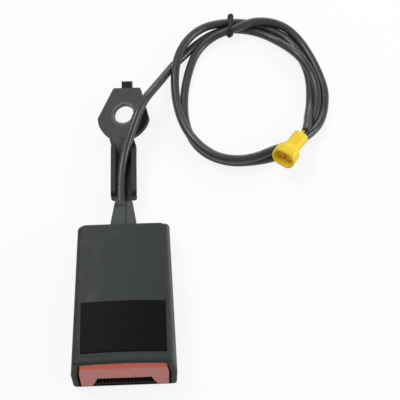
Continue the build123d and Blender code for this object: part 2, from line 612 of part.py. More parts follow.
def button_springs():
    """The pair of springs between the button's face and the rear cover's stops."""
    front = BUTTON_END_Y + (BUTTON_SPRING_Z + BUTTON_SPRING_RADIUS) * tan(radians(END_LEAN))
    front += BUTTON_RECESS + BUTTON_WALL + BUTTON_SPRING_WIRE
    reach = SPRING_STOP_Y - front - BUTTON_SPRING_WIRE
    spring = helix_spring(BUTTON_SPRING_RADIUS, BUTTON_SPRING_WIRE, BUTTON_SPRING_TURNS, reach)
    return both_sides(Pos(BUTTON_SPRING_X, front, BUTTON_SPRING_Z) * Rot(-90, 0, 0) * spring)


def latch_spring():
    """Torsion spring round the latch pin, one leg under the arm and one on the frame's spring tab."""
    width = LATCH_SPRING_TURNS * (LATCH_SPRING_WIRE + 0.15)
    coil = helix_spring(LATCH_SPRING_RADIUS, LATCH_SPRING_WIRE, LATCH_SPRING_TURNS, width)
    coil = Pos(-width / 2, PIVOT_Y, PIVOT_Z) * Rot(0, 90, 0) * coil
    foot_z = PIVOT_Z - LATCH_SPRING_RADIUS
    lift_z = LATCH_ARM_Z - LATCH_SPRING_WIRE / 2 - SPRING_CONTACT
    under_arm = wire_run(
        (-width / 2, PIVOT_Y, foot_z), (-width / 2, PIVOT_Y - LATCH_SPRING_LEG, lift_z), LATCH_SPRING_WIRE
    )
    tab_x = width / 2 - LATCH_SPRING_WIRE / 4
    tab_end = (tab_x, PIVOT_Y + LATCH_SPRING_LEG, foot_z)
    on_tab = wire_run((tab_x, PIVOT_Y, foot_z), tab_end, LATCH_SPRING_WIRE)
    return coil + under_arm + on_tab


# ---- anchor strap ---------------------------------------------------------------------------------
def plate_place():
    """The anchor plate's frame: origin at the hole's centre on the top face, Y towards the tab."""
    return Pos(0, HOLE_Y, STRAP_TOP_Z + HOLE_RISE) * Rot(0, 0, PLATE_YAW) * Rot(PLATE_PITCH, 0, 0) * Rot(
        0, -PLATE_TWIST, 0
    )


def anchor_plate():
    """The drilled plate, in its own frame, with its turned-up tab."""
    drop = PLATE_CORNER_DROP
    half = sqrt(PLATE_RADIUS**2 - (drop - 1) ** 2)
    top = PLATE_TOP_WIDTH / 2
    corners = [(-half, -drop), (half, -drop), (top, PLATE_TOP), (-top, PLATE_TOP)]
    upper = make_face(Polyline(*corners, close=True))
    lower = Pos(0, -1) * Circle(PLATE_RADIUS) & Pos(0, -drop - BIG / 2) * Rectangle(BIG, BIG)
    neck = Pos(0, PLATE_NECK_Y) * Rectangle(SHANK_WIDTH, STRAP_GAUGE)
    face = upper + lower + neck
    wide = face.vertices().filter_by(lambda v: abs(v.Y + drop) < 0.01)
    face = fillet(wide, PLATE_CORNER_RADIUS)
    face = fillet(face.vertices().sort_by(Axis.Y)[-2:], TOP_CORNER_RADIUS)
    face -= Circle(HOLE_DIAMETER / 2)
    plate = extrude(face, -STRAP_GAUGE)
    rounds = plate.edges().filter_by(GeomType.CIRCLE)
    rim = rounds.filter_by(lambda e: abs(e.radius - HOLE_DIAMETER / 2) < 0.01)
    plate = chamfer(rim, 0.3)
    tab = block((-TAB_WIDTH / 2, TAB_WIDTH / 2), (-1, TAB_LENGTH), (-STRAP_GAUGE * 0.8, 0))
    tip = tab.edges().filter_by(Axis.X).group_by(Axis.Y)[-1]
    tab = fillet(tip, STRAP_GAUGE * 0.3)
    tab = Pos(0, PLATE_TOP, 0) * Rot(TAB_BEND, 0, 0) * tab
    return plate + tab


def anchor_strap():
    half = PADDLE_WIDTH / 2
    paddle_y = RIVET_Y - PADDLE_LENGTH / 2
    floor = (BASE_TOP_Z, STRAP_TOP_Z)
    paddle = block((-half, half), (paddle_y, paddle_y + PADDLE_LENGTH), floor)
    paddle = fillet(paddle.edges().filter_by(Axis.Z), 3)
    neck = block((-NECK_WIDTH / 2, NECK_WIDTH / 2), (RIVET_Y, SHANK_START_Y + 2), floor)
    half = SHANK_WIDTH / 2
    rim_z = STRAP_TOP_Z + FLANGE_HEIGHT
    shank = block((-half, half), (SHANK_START_Y, SHANK_END_Y), (BASE_TOP_Z, rim_z))
    shank = fillet(shank.edges().filter_by(Axis.Y).group_by(Axis.Z)[0], STRAP_GAUGE * 0.8)
    ends = shank.edges().filter_by(Axis.X).group_by(Axis.Z)[-1]
    shank = fillet(ends, FLANGE_CORNER_RADIUS)
    gutter = half - STRAP_GAUGE * 0.93
    shank -= block((-gutter, gutter), (-BIG, BIG), (STRAP_TOP_Z, BIG))
    shank += block((-half, half), (SHANK_END_Y - 2, SHANK_END_Y + 1.5), floor)
    section = Rot(-90, 0, 0) * Rectangle(SHANK_WIDTH, STRAP_GAUGE)
    place = plate_place()
    flat = Pos(0, SHANK_END_Y + 1.4, STRAP_TOP_Z - STRAP_GAUGE / 2) * section
    turned = place * Pos(0, PLATE_NECK_Y, -STRAP_GAUGE / 2) * section
    bend = loft([flat, turned], ruled=True)
    strap = paddle + neck + shank + bend + place * anchor_plate()
    return strap - Pos(0, RIVET_Y, FLOOR_Z) * Cylinder(RIVET_RADIUS + PIN_FIT, BIG)


# ---- boot -----------------------------------------------------------------------------------------
def boot_section(y, width, height):
    plane = Plane(origin=(0, y, STRAP_TOP_Z + height / 2), x_dir=(1, 0, 0), z_dir=(0, 1, 0))
    return plane * RectangleRounded(width, height, 1.2)


def stalk_boot():
    """Tapered boot on the strap's neck, trapped by its collar, with a step for the cable."""
    root = BOOT_BASE_Y - END_WALL - BOOT_INSIDE
    base = boot_section(BOOT_BASE_Y, BOOT_BASE_WIDTH, BOOT_BASE_HEIGHT)
    tip = boot_section(BOOT_TIP_Y, BOOT_TIP_WIDTH, BOOT_TIP_HEIGHT)
    boot = loft([base, tip]) + extrude(base, BOOT_BASE_Y - root, dir=(0, -1, 0))
    half = BOOT_BASE_WIDTH / 2 + BOOT_COLLAR
    collar_z = (STRAP_TOP_Z + 0.2, STRAP_TOP_Z + BOOT_BASE_HEIGHT + BOOT_COLLAR)
    boot += block((-half, half), (root, root + 2), collar_z)
    wide = CABLE_DIAMETER / 2 + 0.2
    pocket = block((-BIG, CABLE_X + wide), (CABLE_EXIT_Y, BIG), (CABLE_Z - CABLE_DIAMETER / 2 - 0.2, BIG))
    groove = block((-0.25, 0.25), (BOOT_BASE_Y, BIG), (STRAP_TOP_Z + BOOT_TIP_HEIGHT - 0.6, BIG))
    return boot - pocket - groove


# ---- switch ---------------------------------------------------------------------------------------
def plunger_pocket():
    wide = PLUNGER_WIDTH / 2 + 0.15
    tall = LUG_HEIGHT / 2 + 0.15
    deep = PLUNGER_TIP_Y + PLUNGER_LENGTH + PLUNGER_TRAVEL + RUNNING_GAP
    middle = SWITCH_X + SWITCH_WIDTH / 2 - PLUNGER_WIDTH
    return block((middle - wide, middle + wide), (SWITCH_FRONT_Y - 1, deep), (LUG_Z - tall, LUG_Z + tall))


def switch_body():
    half = SWITCH_WIDTH / 2
    length = (SWITCH_FRONT_Y, SWITCH_FRONT_Y + SWITCH_LENGTH)
    body = block((SWITCH_X - half, SWITCH_X + half), length, (FLOOR_Z, SWITCH_TOP_Z))
    body = chamfer(body.edges().group_by(Axis.Z)[-1], 0.4)
    return body - plunger_pocket()


def switch_plunger():
    middle = SWITCH_X + SWITCH_WIDTH / 2 - PLUNGER_WIDTH
    half = PLUNGER_WIDTH / 2
    stem = block(
        (middle - half, middle + half), (PLUNGER_TIP_Y, PLUNGER_TIP_Y + PLUNGER_LENGTH),
        (LUG_Z - LUG_HEIGHT / 2, LUG_Z + LUG_HEIGHT / 2),
    )
    return fillet(stem.faces().sort_by(Axis.Y)[0].edges(), 0.4)


def terminal_places():
    """Where the switch's two blades leave it."""
    back = SWITCH_FRONT_Y + SWITCH_LENGTH
    return [Vector(SWITCH_X + side * SWITCH_WIDTH / 4, back, SWITCH_TOP_Z - 2.4) for side in (-1, 1)]


def switch_terminals():
    blades = [
        block(
            (p.X - TERMINAL_WIDTH / 2, p.X + TERMINAL_WIDTH / 2), (p.Y, p.Y + TERMINAL_LENGTH),
            (p.Z - TERMINAL_GAUGE / 2, p.Z + TERMINAL_GAUGE / 2),
        )
        for p in terminal_places()
    ]
    return Compound(blades)


def tube(points, diameter, section=None):
    """A tube of straight runs joined by tangent arcs, round unless given a section, and its bends."""
    line = [Vector(*p) for p in points]
    radii = []
    for before, corner, after in zip(line, line[1:], line[2:]):
        run = min((corner - before).length, (after - corner).length)
        turn = radians((corner - before).get_angle(after - corner))
        radii.append(0.45 * run / tan(turn / 2))
    path = FilletPolyline(*line, radius=radii)
    start = Plane(origin=path @ 0, z_dir=path % 0)
    return sweep(start * (section or Circle(diameter / 2)), path=path), radii, path.length


def inner_wires():
    """The two wires from the switch's blades to the boot, over the frame's wall."""
    wires = []
    inside = BOOT_BASE_Y - END_WALL - BOOT_INSIDE
    over_z = FRAME_LOW_Z + WIRE_DIAMETER + 1.2
    for number, blade in enumerate(terminal_places()):
        start = blade + Vector(0, TERMINAL_LENGTH, 0)
        turn_y = start.Y + WIRE_SLACK - 1.8 * number
        route = [
            tuple(start),
            (start.X, start.Y + 1.6, start.Z),
            (start.X, turn_y - 0.6, (start.Z + over_z) / 2),
            (start.X + 2.2, turn_y, over_z),
            (-FRAME_WIDTH / 2 + 6, turn_y + 0.3, over_z),
            (CABLE_X - 3.0 + 3 * number, inside - 2.6, CABLE_Z + 0.6),
            (CABLE_X - 1 + 2 * number, inside - 1.3, CABLE_Z),
            (CABLE_X - 1 + 2 * number, inside, CABLE_Z),
        ]
        wires.append(tube(route, WIRE_DIAMETER, RegularPolygon(WIRE_DIAMETER / 2, 6))[0])
    return Compound(wires)


# ---- cable, coil, tie and connector ----------------------------------------------------------------
def cable_route():
    x, y, z = CABLE_EXIT
    return [CABLE_EXIT, (x, y + 5.2, z - 0.1)] + [
        (across, STALK_END_Y + along, height) for across, along, height in CABLE_ROUTE
    ]


def cable_lead():
    solid, radii, length = tube(cable_route(), CABLE_DIAMETER)
    print("cable bend radii:", [round(r, 1) for r in radii])
    print("cable lead length:", round(length, 1), "volume ratio:",
          round(solid.volume / (length * pi * CABLE_DIAMETER**2 / 4), 4))
    return solid


def coil_edge(radii):
    """A closed smooth outline through one radius every 30 degrees, clockwise from +Y."""
    step = 360 / len(radii)
    points = []
    for number, radius in enumerate(radii):
        angle = radians(number * step)
        points.append((COIL_X + radius * sin(angle), COIL_Y + radius * cos(angle)))
    return make_face(Spline(*points, periodic=True))


def tie_place():
    """The tie's frame: under the middle of the coil's width, Y pointing outwards."""
    angle = radians(TIE_ANGLE)
    middle = (COIL_OUTER[0] + COIL_INNER[0]) / 2 + 0.4
    return Pos(COIL_X + middle * sin(angle), COIL_Y + middle * cos(angle), 0) * Rot(0, 0, -TIE_ANGLE)


def cable_coil():
    """The outer shape of the coiled cable: a flat ring of uneven width, notched under its tie."""
    ring = extrude(coil_edge(COIL_OUTER) - coil_edge(COIL_INNER), COIL_HEIGHT)
    half = TIE_WIDTH / 2 + SEAT_FIT
    return ring - tie_place() * block((-half, half), (-TIE_SPAN, TIE_SPAN), (-1, TIE_GAUGE + 0.1))


def twist_tie():
    """Flat tie round the coil, its two ends twisted together on the outside."""
    half = (COIL_OUTER[0] - COIL_INNER[0]) / 2 + 1.2
    high = COIL_HEIGHT + 0.1 + TIE_GAUGE
    loop = block((-TIE_WIDTH / 2, TIE_WIDTH / 2), (-half - TIE_GAUGE, half + TIE_GAUGE), (0, high))
    loop -= block((-TIE_WIDTH, TIE_WIDTH), (-half, half), (TIE_GAUGE, high - TIE_GAUGE))
    tail = Pos(0, half + TIE_GAUGE + TIE_TAIL / 2 - 0.2, COIL_HEIGHT / 2) * Rot(90, 0, 0) * Cone(
        TIE_WIDTH * 0.25, TIE_WIDTH * 0.45, TIE_TAIL
    )
    return tie_place() * (loop + tail)


def connector_place():
    """The connector's frame: origin at the rear of its body, Y along it to the mouth."""
    x, y = CONNECTOR_TAIL
    rest = COIL_HEIGHT + CONNECTOR_BODY_HEIGHT / 2 + 0.1
    return Pos(x, STALK_END_Y + y, rest) * Rot(0, 0, CONNECTOR_HEADING - 90)


def connector_housing():
    """Yellow two-way connector: a slim rear body and a wider open head, keyed on top."""
    half = CONNECTOR_BODY_WIDTH / 2
    low = -CONNECTOR_BODY_HEIGHT / 2
    body = block((-half, half), (0, CONNECTOR_BODY_LENGTH + 1), (low, -low))
    body = fillet(body.edges().filter_by(Axis.Y), 1.0)
    wide = CONNECTOR_HEAD_WIDTH / 2
    tall = CONNECTOR_HEAD_HEIGHT / 2
    mouth = CONNECTOR_BODY_LENGTH + CONNECTOR_HEAD_LENGTH
    lift = tall + low
    head = block((-wide, wide), (CONNECTOR_BODY_LENGTH, mouth), (lift - tall, lift + tall))
    head = fillet(head.edges().filter_by(Axis.Y), 1.4)
    shoulder = chamfer(head.faces().sort_by(Axis.Y)[0].edges(), 1.0)
    pocket = block(
        (-wide + CONNECTOR_WALL, wide - CONNECTOR_WALL),
        (CONNECTOR_BODY_LENGTH + CONNECTOR_FLOOR, mouth + 1),
        (lift - tall + CONNECTOR_WALL, lift + tall - CONNECTOR_WALL),
    )
    key = block((-2.2, 2.2), (3.0, mouth - 3.0), (-low - 1, lift + tall + 1.0))
    ways = Compound([
        Pos(side * 1.9, 0, 0) * Rot(-90, 0, 0) * Cylinder(WIRE_DIAMETER / 2 + 0.1, 8) for side in (-1, 1)
    ])
    return connector_place() * (body + shoulder + key - pocket - ways)


def connector_retainer():
    """Orange retainer in the mouth: a floor plate with a Y-shaped rib."""
    wide = CONNECTOR_HEAD_WIDTH / 2 - CONNECTOR_WALL - 0.1
    tall = CONNECTOR_HEAD_HEIGHT / 2 - CONNECTOR_WALL - 0.1
    lift = CONNECTOR_HEAD_HEIGHT / 2 - CONNECTOR_BODY_HEIGHT / 2
    start = CONNECTOR_BODY_LENGTH + CONNECTOR_FLOOR
    plate = block((-wide, wide), (start, start + 1.2), (lift - tall, lift + tall))
    rib = block((-0.5, 0.5), (start, start + RETAINER_RIB), (lift - tall, lift))
    for side in (-1, 1):
        rib += Pos(side * 1.6, start + RETAINER_RIB / 2, lift + 1.4) * Rot(0, side * 48, 0) * Box(
            1.0, RETAINER_RIB, 4.6
        )
    holes = Compound([
        Pos(side * 3.0, start, lift - 1.2) * Box(1.6, 8, 1.2) for side in (-1, 1)
    ])
    return connector_place() * (plate + rib - holes)


def connector_terminals():
    start = CONNECTOR_BODY_LENGTH + CONNECTOR_FLOOR
    lift = CONNECTOR_HEAD_HEIGHT / 2 - CONNECTOR_BODY_HEIGHT / 2
    pins = [
        block(
            (side * 3.0 - 0.6, side * 3.0 + 0.6), (start, start + RETAINER_RIB), (lift - 1.6, lift - 0.8)
        )
        for side in (-1, 1)
    ]
    return connector_place() * Compound(pins)


def wire_stub(side):
    """One short wire from the connector's rear down to the end of the cable."""
    x = side * 1.9
    route = [(x, 3.0, 0), (x, -0.6, 0), (x * 0.8, -3.0, -1.4), (x * 0.5, -STUB_LENGTH - 1.0, -3.0)]
    return connector_place() * tube(route, WIRE_DIAMETER)[0]


# ---- the assembly ---------------------------------------------------------------------------------
PARTS = {
    "rear_cover": rear_cover,
    "front_cover": front_cover,
    "face_label": face_label,
    "slot_guide": slot_guide,
    "latch_frame": latch_frame,
    "frame_rivet": frame_rivet,
    "latch_pin": latch_pin,
    "latch": latch,
    "latch_spring": latch_spring,
    "lock_bar": lock_bar,
    "ejector": ejector,
    "ejector_spring": ejector_spring,
    "push_button": push_button,
    "button_springs": button_springs,
    "anchor_strap": anchor_strap,
    "stalk_boot": stalk_boot,
    "switch_body": switch_body,
    "switch_plunger": switch_plunger,
    "switch_terminals": switch_terminals,
    "inner_wires": inner_wires,
    "cable_lead": cable_lead,
    "cable_coil": cable_coil,
    "twist_tie": twist_tie,
    "connector_housing": connector_housing,
    "connector_retainer": connector_retainer,
    "connector_terminals": connector_terminals,
    "wire_yellow": lambda: wire_stub(-1),
    "wire_blue": lambda: wire_stub(1),
}

os.makedirs("parts", exist_ok=True)
for name, make in PARTS.items():
    export_step(make(), f"parts/{name}.step")
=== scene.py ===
import bpy
import numpy as np
from math import cos, pi, radians, sin, tan, tau
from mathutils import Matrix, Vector


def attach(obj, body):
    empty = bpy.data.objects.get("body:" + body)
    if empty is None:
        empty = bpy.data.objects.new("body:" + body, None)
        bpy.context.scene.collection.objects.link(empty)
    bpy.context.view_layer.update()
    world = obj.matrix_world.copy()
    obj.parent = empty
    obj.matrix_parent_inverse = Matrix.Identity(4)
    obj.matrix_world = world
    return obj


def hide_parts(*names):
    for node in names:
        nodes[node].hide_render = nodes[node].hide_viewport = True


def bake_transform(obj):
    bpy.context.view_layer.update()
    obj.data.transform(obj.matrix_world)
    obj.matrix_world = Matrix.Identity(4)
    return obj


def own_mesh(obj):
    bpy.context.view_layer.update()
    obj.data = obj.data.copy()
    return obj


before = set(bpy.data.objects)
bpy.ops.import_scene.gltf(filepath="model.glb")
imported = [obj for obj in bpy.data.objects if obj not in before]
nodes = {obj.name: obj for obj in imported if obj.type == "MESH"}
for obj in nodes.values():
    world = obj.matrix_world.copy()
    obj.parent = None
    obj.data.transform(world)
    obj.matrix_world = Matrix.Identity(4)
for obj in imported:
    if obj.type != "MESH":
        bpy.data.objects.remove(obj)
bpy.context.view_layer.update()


# ---- camera, floor and lamps --------------------------------------------------------------------
# A long lens looks down at the buckle from the button end. The floor is a plain white sheet that
# keeps the shadows, and three wide soft lamps light it: one high at the left, one low behind the
# anchor end and one low at the right, none of them where the flat cover would mirror it.
class Finish:
    """A material round one Principled shader: fixed numbers sit on the shader's own sockets."""

    def __init__(self, name, **fixed):
        self.material = bpy.data.materials.new(name)
        self.material.use_nodes = True
        self.tree = self.material.node_tree
        self.shader = self.tree.nodes["Principled BSDF"]
        for socket, value in fixed.items():
            self.shader.inputs[socket.replace("_", " ")].default_value = value
        self.place = self.node("ShaderNodeTexCoord", out="Object")

    def node(self, kind, settings=None, out=0, **sockets):
        """Any node: its type, its settings, the output that is read, and its inputs.

        An input goes by its name, or by the letter i and its number.
        """
        made = self.tree.nodes.new(kind)
        for key, value in (settings or {}).items():
            setattr(made, key, value)
        for key, value in sockets.items():
            index = int(key[1:]) if key[1:].isdigit() else key.replace("_", " ")
            self.join(value, made.inputs[index])
        return Wire(self, made.outputs[out])

    def join(self, value, socket):
        """A link from a wire, or a plain value, put on one input."""
        if isinstance(value, Wire):
            self.tree.links.new(value.socket, socket)
        else:
            socket.default_value = value

    def feed(self, **sockets):
        """What changes over the surface, put on the shader's inputs."""
        for socket, value in sockets.items():
            self.join(value, self.shader.inputs[socket.replace("_", " ")])
        return self

    def mixed(self, mask, low, high):
        """A colour that goes from low to high with the mask."""
        return self.node(
            "ShaderNodeMix", {"data_type": "RGBA"}, out=2, i0=mask, i6=low, i7=high
        )

    def noise(self, scale, detail=2.0, rough=0.5, at=None):
        """Soft noise from 0 to 1, with this many waves to a metre."""
        return self.node(
            "ShaderNodeTexNoise", Vector=at or self.place, Scale=scale, Detail=detail,
            Roughness=rough,
        )

    def axis(self, index):
        """The place along X, Y or Z, in metres."""
        return self.node("ShaderNodeSeparateXYZ", out=index, Vector=self.place)

    def pulled(self, *scale):
        """The place with each axis scaled, which draws a pattern out along the small ones."""
        return self.node("ShaderNodeMapping", Vector=self.place, Scale=scale)

    def away(self, *centre):
        """The distance from a point, in metres."""
        return self.node(
            "ShaderNodeVectorMath", {"operation": "DISTANCE"}, out=1, i0=self.place, i1=centre
        )

    def ramp(self, mask, low, high):
        """The mask stretched so that low turns 0 and high turns 1."""
        return self.node("ShaderNodeMapRange", i0=mask, i1=low, i2=high)

    def bump(self, height, distance, strength=1.0, normal=None):
        """A normal bent by a height from 0 to 1 that stands for a distance in metres."""
        extra = {"Normal": normal} if normal else {}
        return self.node(
            "ShaderNodeBump", Height=height, Distance=distance, Strength=strength, **extra
        )

    def on(self, *objects):
        """The finish put on pieces, in place of what they had."""
        for piece in objects:
            piece.data.materials.clear()
            piece.data.materials.append(self.material)
        return self


class Wire:
    """One node's output. Arithmetic on it adds Math nodes, whichever side it stands on."""

    def __init__(self, finish, socket):
        self.finish, self.socket = finish, socket

    def math(self, operation, first, second=0.0):
        return self.finish.node("ShaderNodeMath", {"operation": operation}, i0=first, i1=second)

    def __add__(self, other):
        return self.math("ADD", self, other)

    def __sub__(self, other):
        return self.math("SUBTRACT", self, other)

    def __rsub__(self, other):
        return self.math("SUBTRACT", other, self)

    def __mul__(self, other):
        return self.math("MULTIPLY", self, other)

    __radd__, __rmul__ = __add__, __mul__


scene = bpy.context.scene
scene.view_settings.view_transform = "Standard"

CAMERA_PLACE = (0.0333, -0.2566, 0.51605)
TILT = radians(62.0)                    # of the gaze, down from level
HEADING = (0.0384, 0.9993)              # of the gaze over the floor, along X and Y
camera = bpy.data.objects.new("camera", bpy.data.cameras.new("camera"))
scene.collection.objects.link(camera)
camera.data.lens, camera.data.sensor_width = 90, 36
camera.data.clip_start, camera.data.clip_end = 0.05, 20
camera.location = CAMERA_PLACE
gaze = Vector((cos(TILT) * HEADING[0], cos(TILT) * HEADING[1], -sin(TILT)))
camera.rotation_euler = gaze.to_track_quat("-Z", "Y").to_euler()
scene.camera = camera

ROOM_LIGHT = 0.38                       # even white light from all round
world = bpy.data.worlds.new("studio")
scene.world = world
world.use_nodes = True
room = world.node_tree.nodes["Background"]
room.inputs["Color"].default_value = (1, 1, 1, 1)
room.inputs["Strength"].default_value = ROOM_LIGHT

FLOOR_REACH = 12.0                      # from the middle to each edge, in metres
FLOOR_GLOW = 0.86                       # share of plain white where the floor is seen straight
floor_mesh = bpy.data.meshes.new("floor")
floor_mesh.from_pydata(
    [
        (-FLOOR_REACH, -FLOOR_REACH, 0), (FLOOR_REACH, -FLOOR_REACH, 0),
        (FLOOR_REACH, FLOOR_REACH, 0), (-FLOOR_REACH, FLOOR_REACH, 0),
    ], [], [(0, 1, 2, 3)],
)
floor = bpy.data.objects.new("floor", floor_mesh)
scene.collection.objects.link(floor)
paper = Finish(
    "white paper", Base_Color=(0.86, 0.86, 0.86, 1), Roughness=0.9, Specular_IOR_Level=0.0
)
straight = [
    paper.node("ShaderNodeLightPath", out=ray)
    for ray in ("Is Camera Ray", "Is Glossy Ray", "Is Transmission Ray")
]
surface = paper.node(
    "ShaderNodeMixShader", i0=FLOOR_GLOW * sum(straight[1:], straight[0]),
    i1=Wire(paper, paper.shader.outputs[0]), i2=paper.node("ShaderNodeEmission", Strength=1.0),
)
paper.join(surface, paper.tree.nodes["Material Output"].inputs["Surface"])
paper.on(floor)


def lamp(name, place, aim, size, power):
    """An oblong area lamp that faces the aim: metres for its place and size, watts for power."""
    light = bpy.data.lights.new(name, "AREA")
    light.shape, light.size, light.size_y = "RECTANGLE", *size
    light.energy = power
    made = bpy.data.objects.new(name, light)
    scene.collection.objects.link(made)
    made.location = place
    made.rotation_euler = (Vector(aim) - Vector(place)).to_track_quat("-Z", "Y").to_euler()


lamp("high left", (-0.45, 0.42, 1.05), aim=(0.03, 0.03, 0.0), size=(0.5, 0.4), power=6.5)
lamp("behind", (0.25, 1.15, 0.50), aim=(0.03, 0.0, 0.0), size=(0.8, 0.4), power=4.0)
lamp("right", (0.85, -0.05, 0.35), aim=(0.0, 0.0, 0.0), size=(0.5, 0.4), power=4.0)


# ---- lead and its coil --------------------------------------------------------------------------
# Two-core round lead in a smooth extruded vinyl sheath. It leaves the boot beside the strap, rises
# over the anchor plate, drops to the table and is wound in two and a half loose turns. The turns
# cross under the tie and under the connector, and the last one carries the connector.
MM = 0.001
LEAD_DIAMETER = 0.0052
LEAD_RADIUS = LEAD_DIAMETER / 2 / MM    # in millimetres, as every shape is
LEAD_ROUTE = [
    (-1.8, 10.4, 10.7), (-1.8, 15.6, 10.6), (-1.8, 21.0, 10.6), (-1.5, 30.5, 10.7),
    (-0.2, 40.0, 11.6), (2.3, 49.0, 14.0), (5.6, 58.0, 17.2), (9.2, 67.5, 19.6), (13.8, 77.5, 19.0),
    (18.9, 87.0, 15.2), (23.2, 96.2, 10.4), (26.8, 104.2, 6.2), (30.3, 110.8, 3.6),
]
COIL_MIDDLE = (77.2, 89.7)
# The turns: each point's angle in degrees clockwise from +Y, its radius and its height.
FIRST_TURN = [
    (-52, 49.4, 2.6), (-38, 49.6, 2.6), (-24, 50.6, 2.6), (-11, 50.4, 2.6), (2, 48.3, 2.6),
    (15, 46.0, 2.6), (28, 43.0, 3.6), (40, 40.4, 6.4), (52, 39.4, 7.9), (64, 39.8, 7.4),
    (77, 40.8, 5.8), (91, 41.3, 4.8), (105, 42.1, 4.4), (118, 43.2, 3.4), (131, 45.2, 2.6),
    (144, 47.2, 2.6), (157, 48.0, 2.6), (170, 48.2, 2.6), (183, 49.0, 2.6), (196, 51.0, 2.6),
    (209, 51.6, 2.6), (221, 50.6, 2.6), (233, 47.8, 2.6), (246, 44.4, 2.6), (259, 41.6, 2.6),
    (272, 40.2, 2.6), (285, 40.0, 2.6), (298, 41.2, 2.6), (312, 44.2, 2.6), (325, 46.4, 3.4),
    (337, 47.0, 5.4),
]
SECOND_TURN = [
    (-12, 46.2, 7.2), (-4, 46.8, 8.4), (5, 50.6, 8.3), (16, 53.4, 7.2), (28, 54.2, 5.4),
    (40, 51.6, 3.8), (52, 48.6, 2.8), (65, 46.4, 2.6), (78, 45.8, 2.6), (91, 46.4, 2.6),
    (104, 46.6, 2.6), (116, 47.4, 3.6), (127, 48.0, 5.6), (139, 47.6, 7.6), (152, 46.6, 7.8),
    (166, 45.8, 7.8), (179, 49.0, 7.8), (192, 51.8, 7.8), (205, 52.9, 7.8), (217, 51.6, 7.8),
    (229, 49.8, 7.8), (240, 48.0, 7.4), (252, 46.4, 6.9), (264, 45.8, 6.5), (276, 46.2, 6.8),
    (288, 47.8, 7.6), (299, 50.0, 8.1), (310, 52.2, 8.0), (321, 54.2, 7.4), (332, 54.9, 7.0),
    (343, 53.2, 7.0),
]
THIRD_TURN = [
    (-9, 53.0, 5.4), (-1, 53.6, 3.2), (9, 52.4, 2.6), (21, 50.4, 2.6), (33, 48.4, 2.6),
    (46, 44.4, 2.6), (59, 41.4, 2.6), (72, 39.4, 2.6), (85, 37.9, 2.6), (98, 37.4, 2.7),
    (110, 38.2, 3.8), (122, 40.0, 6.6),
]
LEAD_END = [(110.0, 62.0, 9.2), (109.0, 57.8, 11.0), (108.2, 55.4, 11.5)]


def turn_points(turn):
    """Points round the coil's middle: sine and cosine of each angle, times its radius."""
    angle, radius, height = np.transpose(turn)
    side, ahead = radius * np.sin(np.radians(angle)), radius * np.cos(np.radians(angle))
    return np.stack([COIL_MIDDLE[0] + side, COIL_MIDDLE[1] + ahead, height], axis=1)


def skin(grid, ring=False):
    """A closed surface over a grid of points whose columns go round it.

    Each four neighbours make a face. The first and last rows are closed on their middle point, or
    on each other where the surface is a ring. Faces that enclose a negative volume are turned.
    """
    rows, columns, _ = grid.shape
    points = grid.reshape(-1, 3)
    index = np.arange(rows * columns).reshape(rows, columns)
    if ring:
        index = np.vstack([index, index[:1]])
    after = np.roll(index, -1, axis=1)
    quads = np.stack([index[:-1], after[:-1], after[1:], index[1:]], axis=-1).reshape(-1, 4)
    triangles = np.concatenate([quads[:, [0, 1, 2]], quads[:, [0, 2, 3]]])
    if not ring:
        points = np.vstack([points, grid[0].mean(0), grid[-1].mean(0)])
        first, last = np.full(columns, len(points) - 2), np.full(columns, len(points) - 1)
        triangles = np.concatenate([
            triangles, np.stack([after[0], index[0], first], axis=-1),
            np.stack([index[-1], after[-1], last], axis=-1),
        ])
    corners = points[triangles]
    volume = np.einsum("ij,ij->", corners[:, 0], np.cross(corners[:, 1], corners[:, 2]))
    return points, triangles if volume > 0 else triangles[:, ::-1]


def moulded(name, skins, body="housing"):
    """One smooth mesh object of one or more closed surfaces, in millimetres, riding on a body.

    Points that coincide are welded, and faces that this leaves without width are dropped.
    """
    offsets = np.cumsum([0] + [len(points) for points, _ in skins[:-1]])
    points = MM * np.concatenate([points for points, _ in skins])
    faces = np.concatenate([faces + offset for (_, faces), offset in zip(skins, offsets)])
    _, kept, merged = np.unique(
        np.round(points / 1e-7).astype(np.int64), axis=0, return_index=True, return_inverse=True
    )
    points, faces = points[kept], merged.reshape(-1)[faces]
    edges = faces - np.roll(faces, 1, axis=1)
    faces = faces[np.all(edges != 0, axis=1)]
    mesh = bpy.data.meshes.new(name)
    mesh.from_pydata(points.tolist(), [], faces.tolist())
    mesh.polygons.foreach_set("use_smooth", np.ones(len(faces), bool))
    mesh.update()
    made = bpy.data.objects.new(name, mesh)
    scene.collection.objects.link(made)
    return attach(made, body) if body else made


def tube_skin(path, radius, around=14):
    """A round tube: at each point of the path a circle square to the path's direction there."""
    along = np.gradient(path, axis=0)
    along /= np.linalg.norm(along, axis=1)[:, None]
    side = np.cross(along, (0.31, 0.17, 0.94))
    side /= np.linalg.norm(side, axis=1)[:, None]
    turn = np.linspace(0, tau, around, endpoint=False)[None, :, None]
    ring = np.cos(turn) * side[:, None] + np.sin(turn) * np.cross(along, side)[:, None]
    return skin(path[:, None] + np.reshape(radius, (-1, 1, 1)) * ring)


def laid_line(points):
    """The smooth NURBS line over its control points, read as a row of points along it."""
    curve = bpy.data.curves.new("lead line", "CURVE")
    curve.dimensions, curve.resolution_u = "3D", 8
    line = curve.splines.new("NURBS")
    line.points.add(len(points) - 1)
    line.points.foreach_set("co", np.column_stack([points, np.ones(len(points))]).ravel())
    line.order_u, line.use_endpoint_u = 3, True
    made = bpy.data.objects.new("lead line", curve)
    scene.collection.objects.link(made)
    settled = made.evaluated_get(bpy.context.evaluated_depsgraph_get())
    mesh = bpy.data.meshes.new_from_object(settled)
    found = np.empty(3 * len(mesh.vertices))
    mesh.vertices.foreach_get("co", found)
    bpy.data.objects.remove(made)
    bpy.data.meshes.remove(mesh)
    return found.reshape(-1, 3)


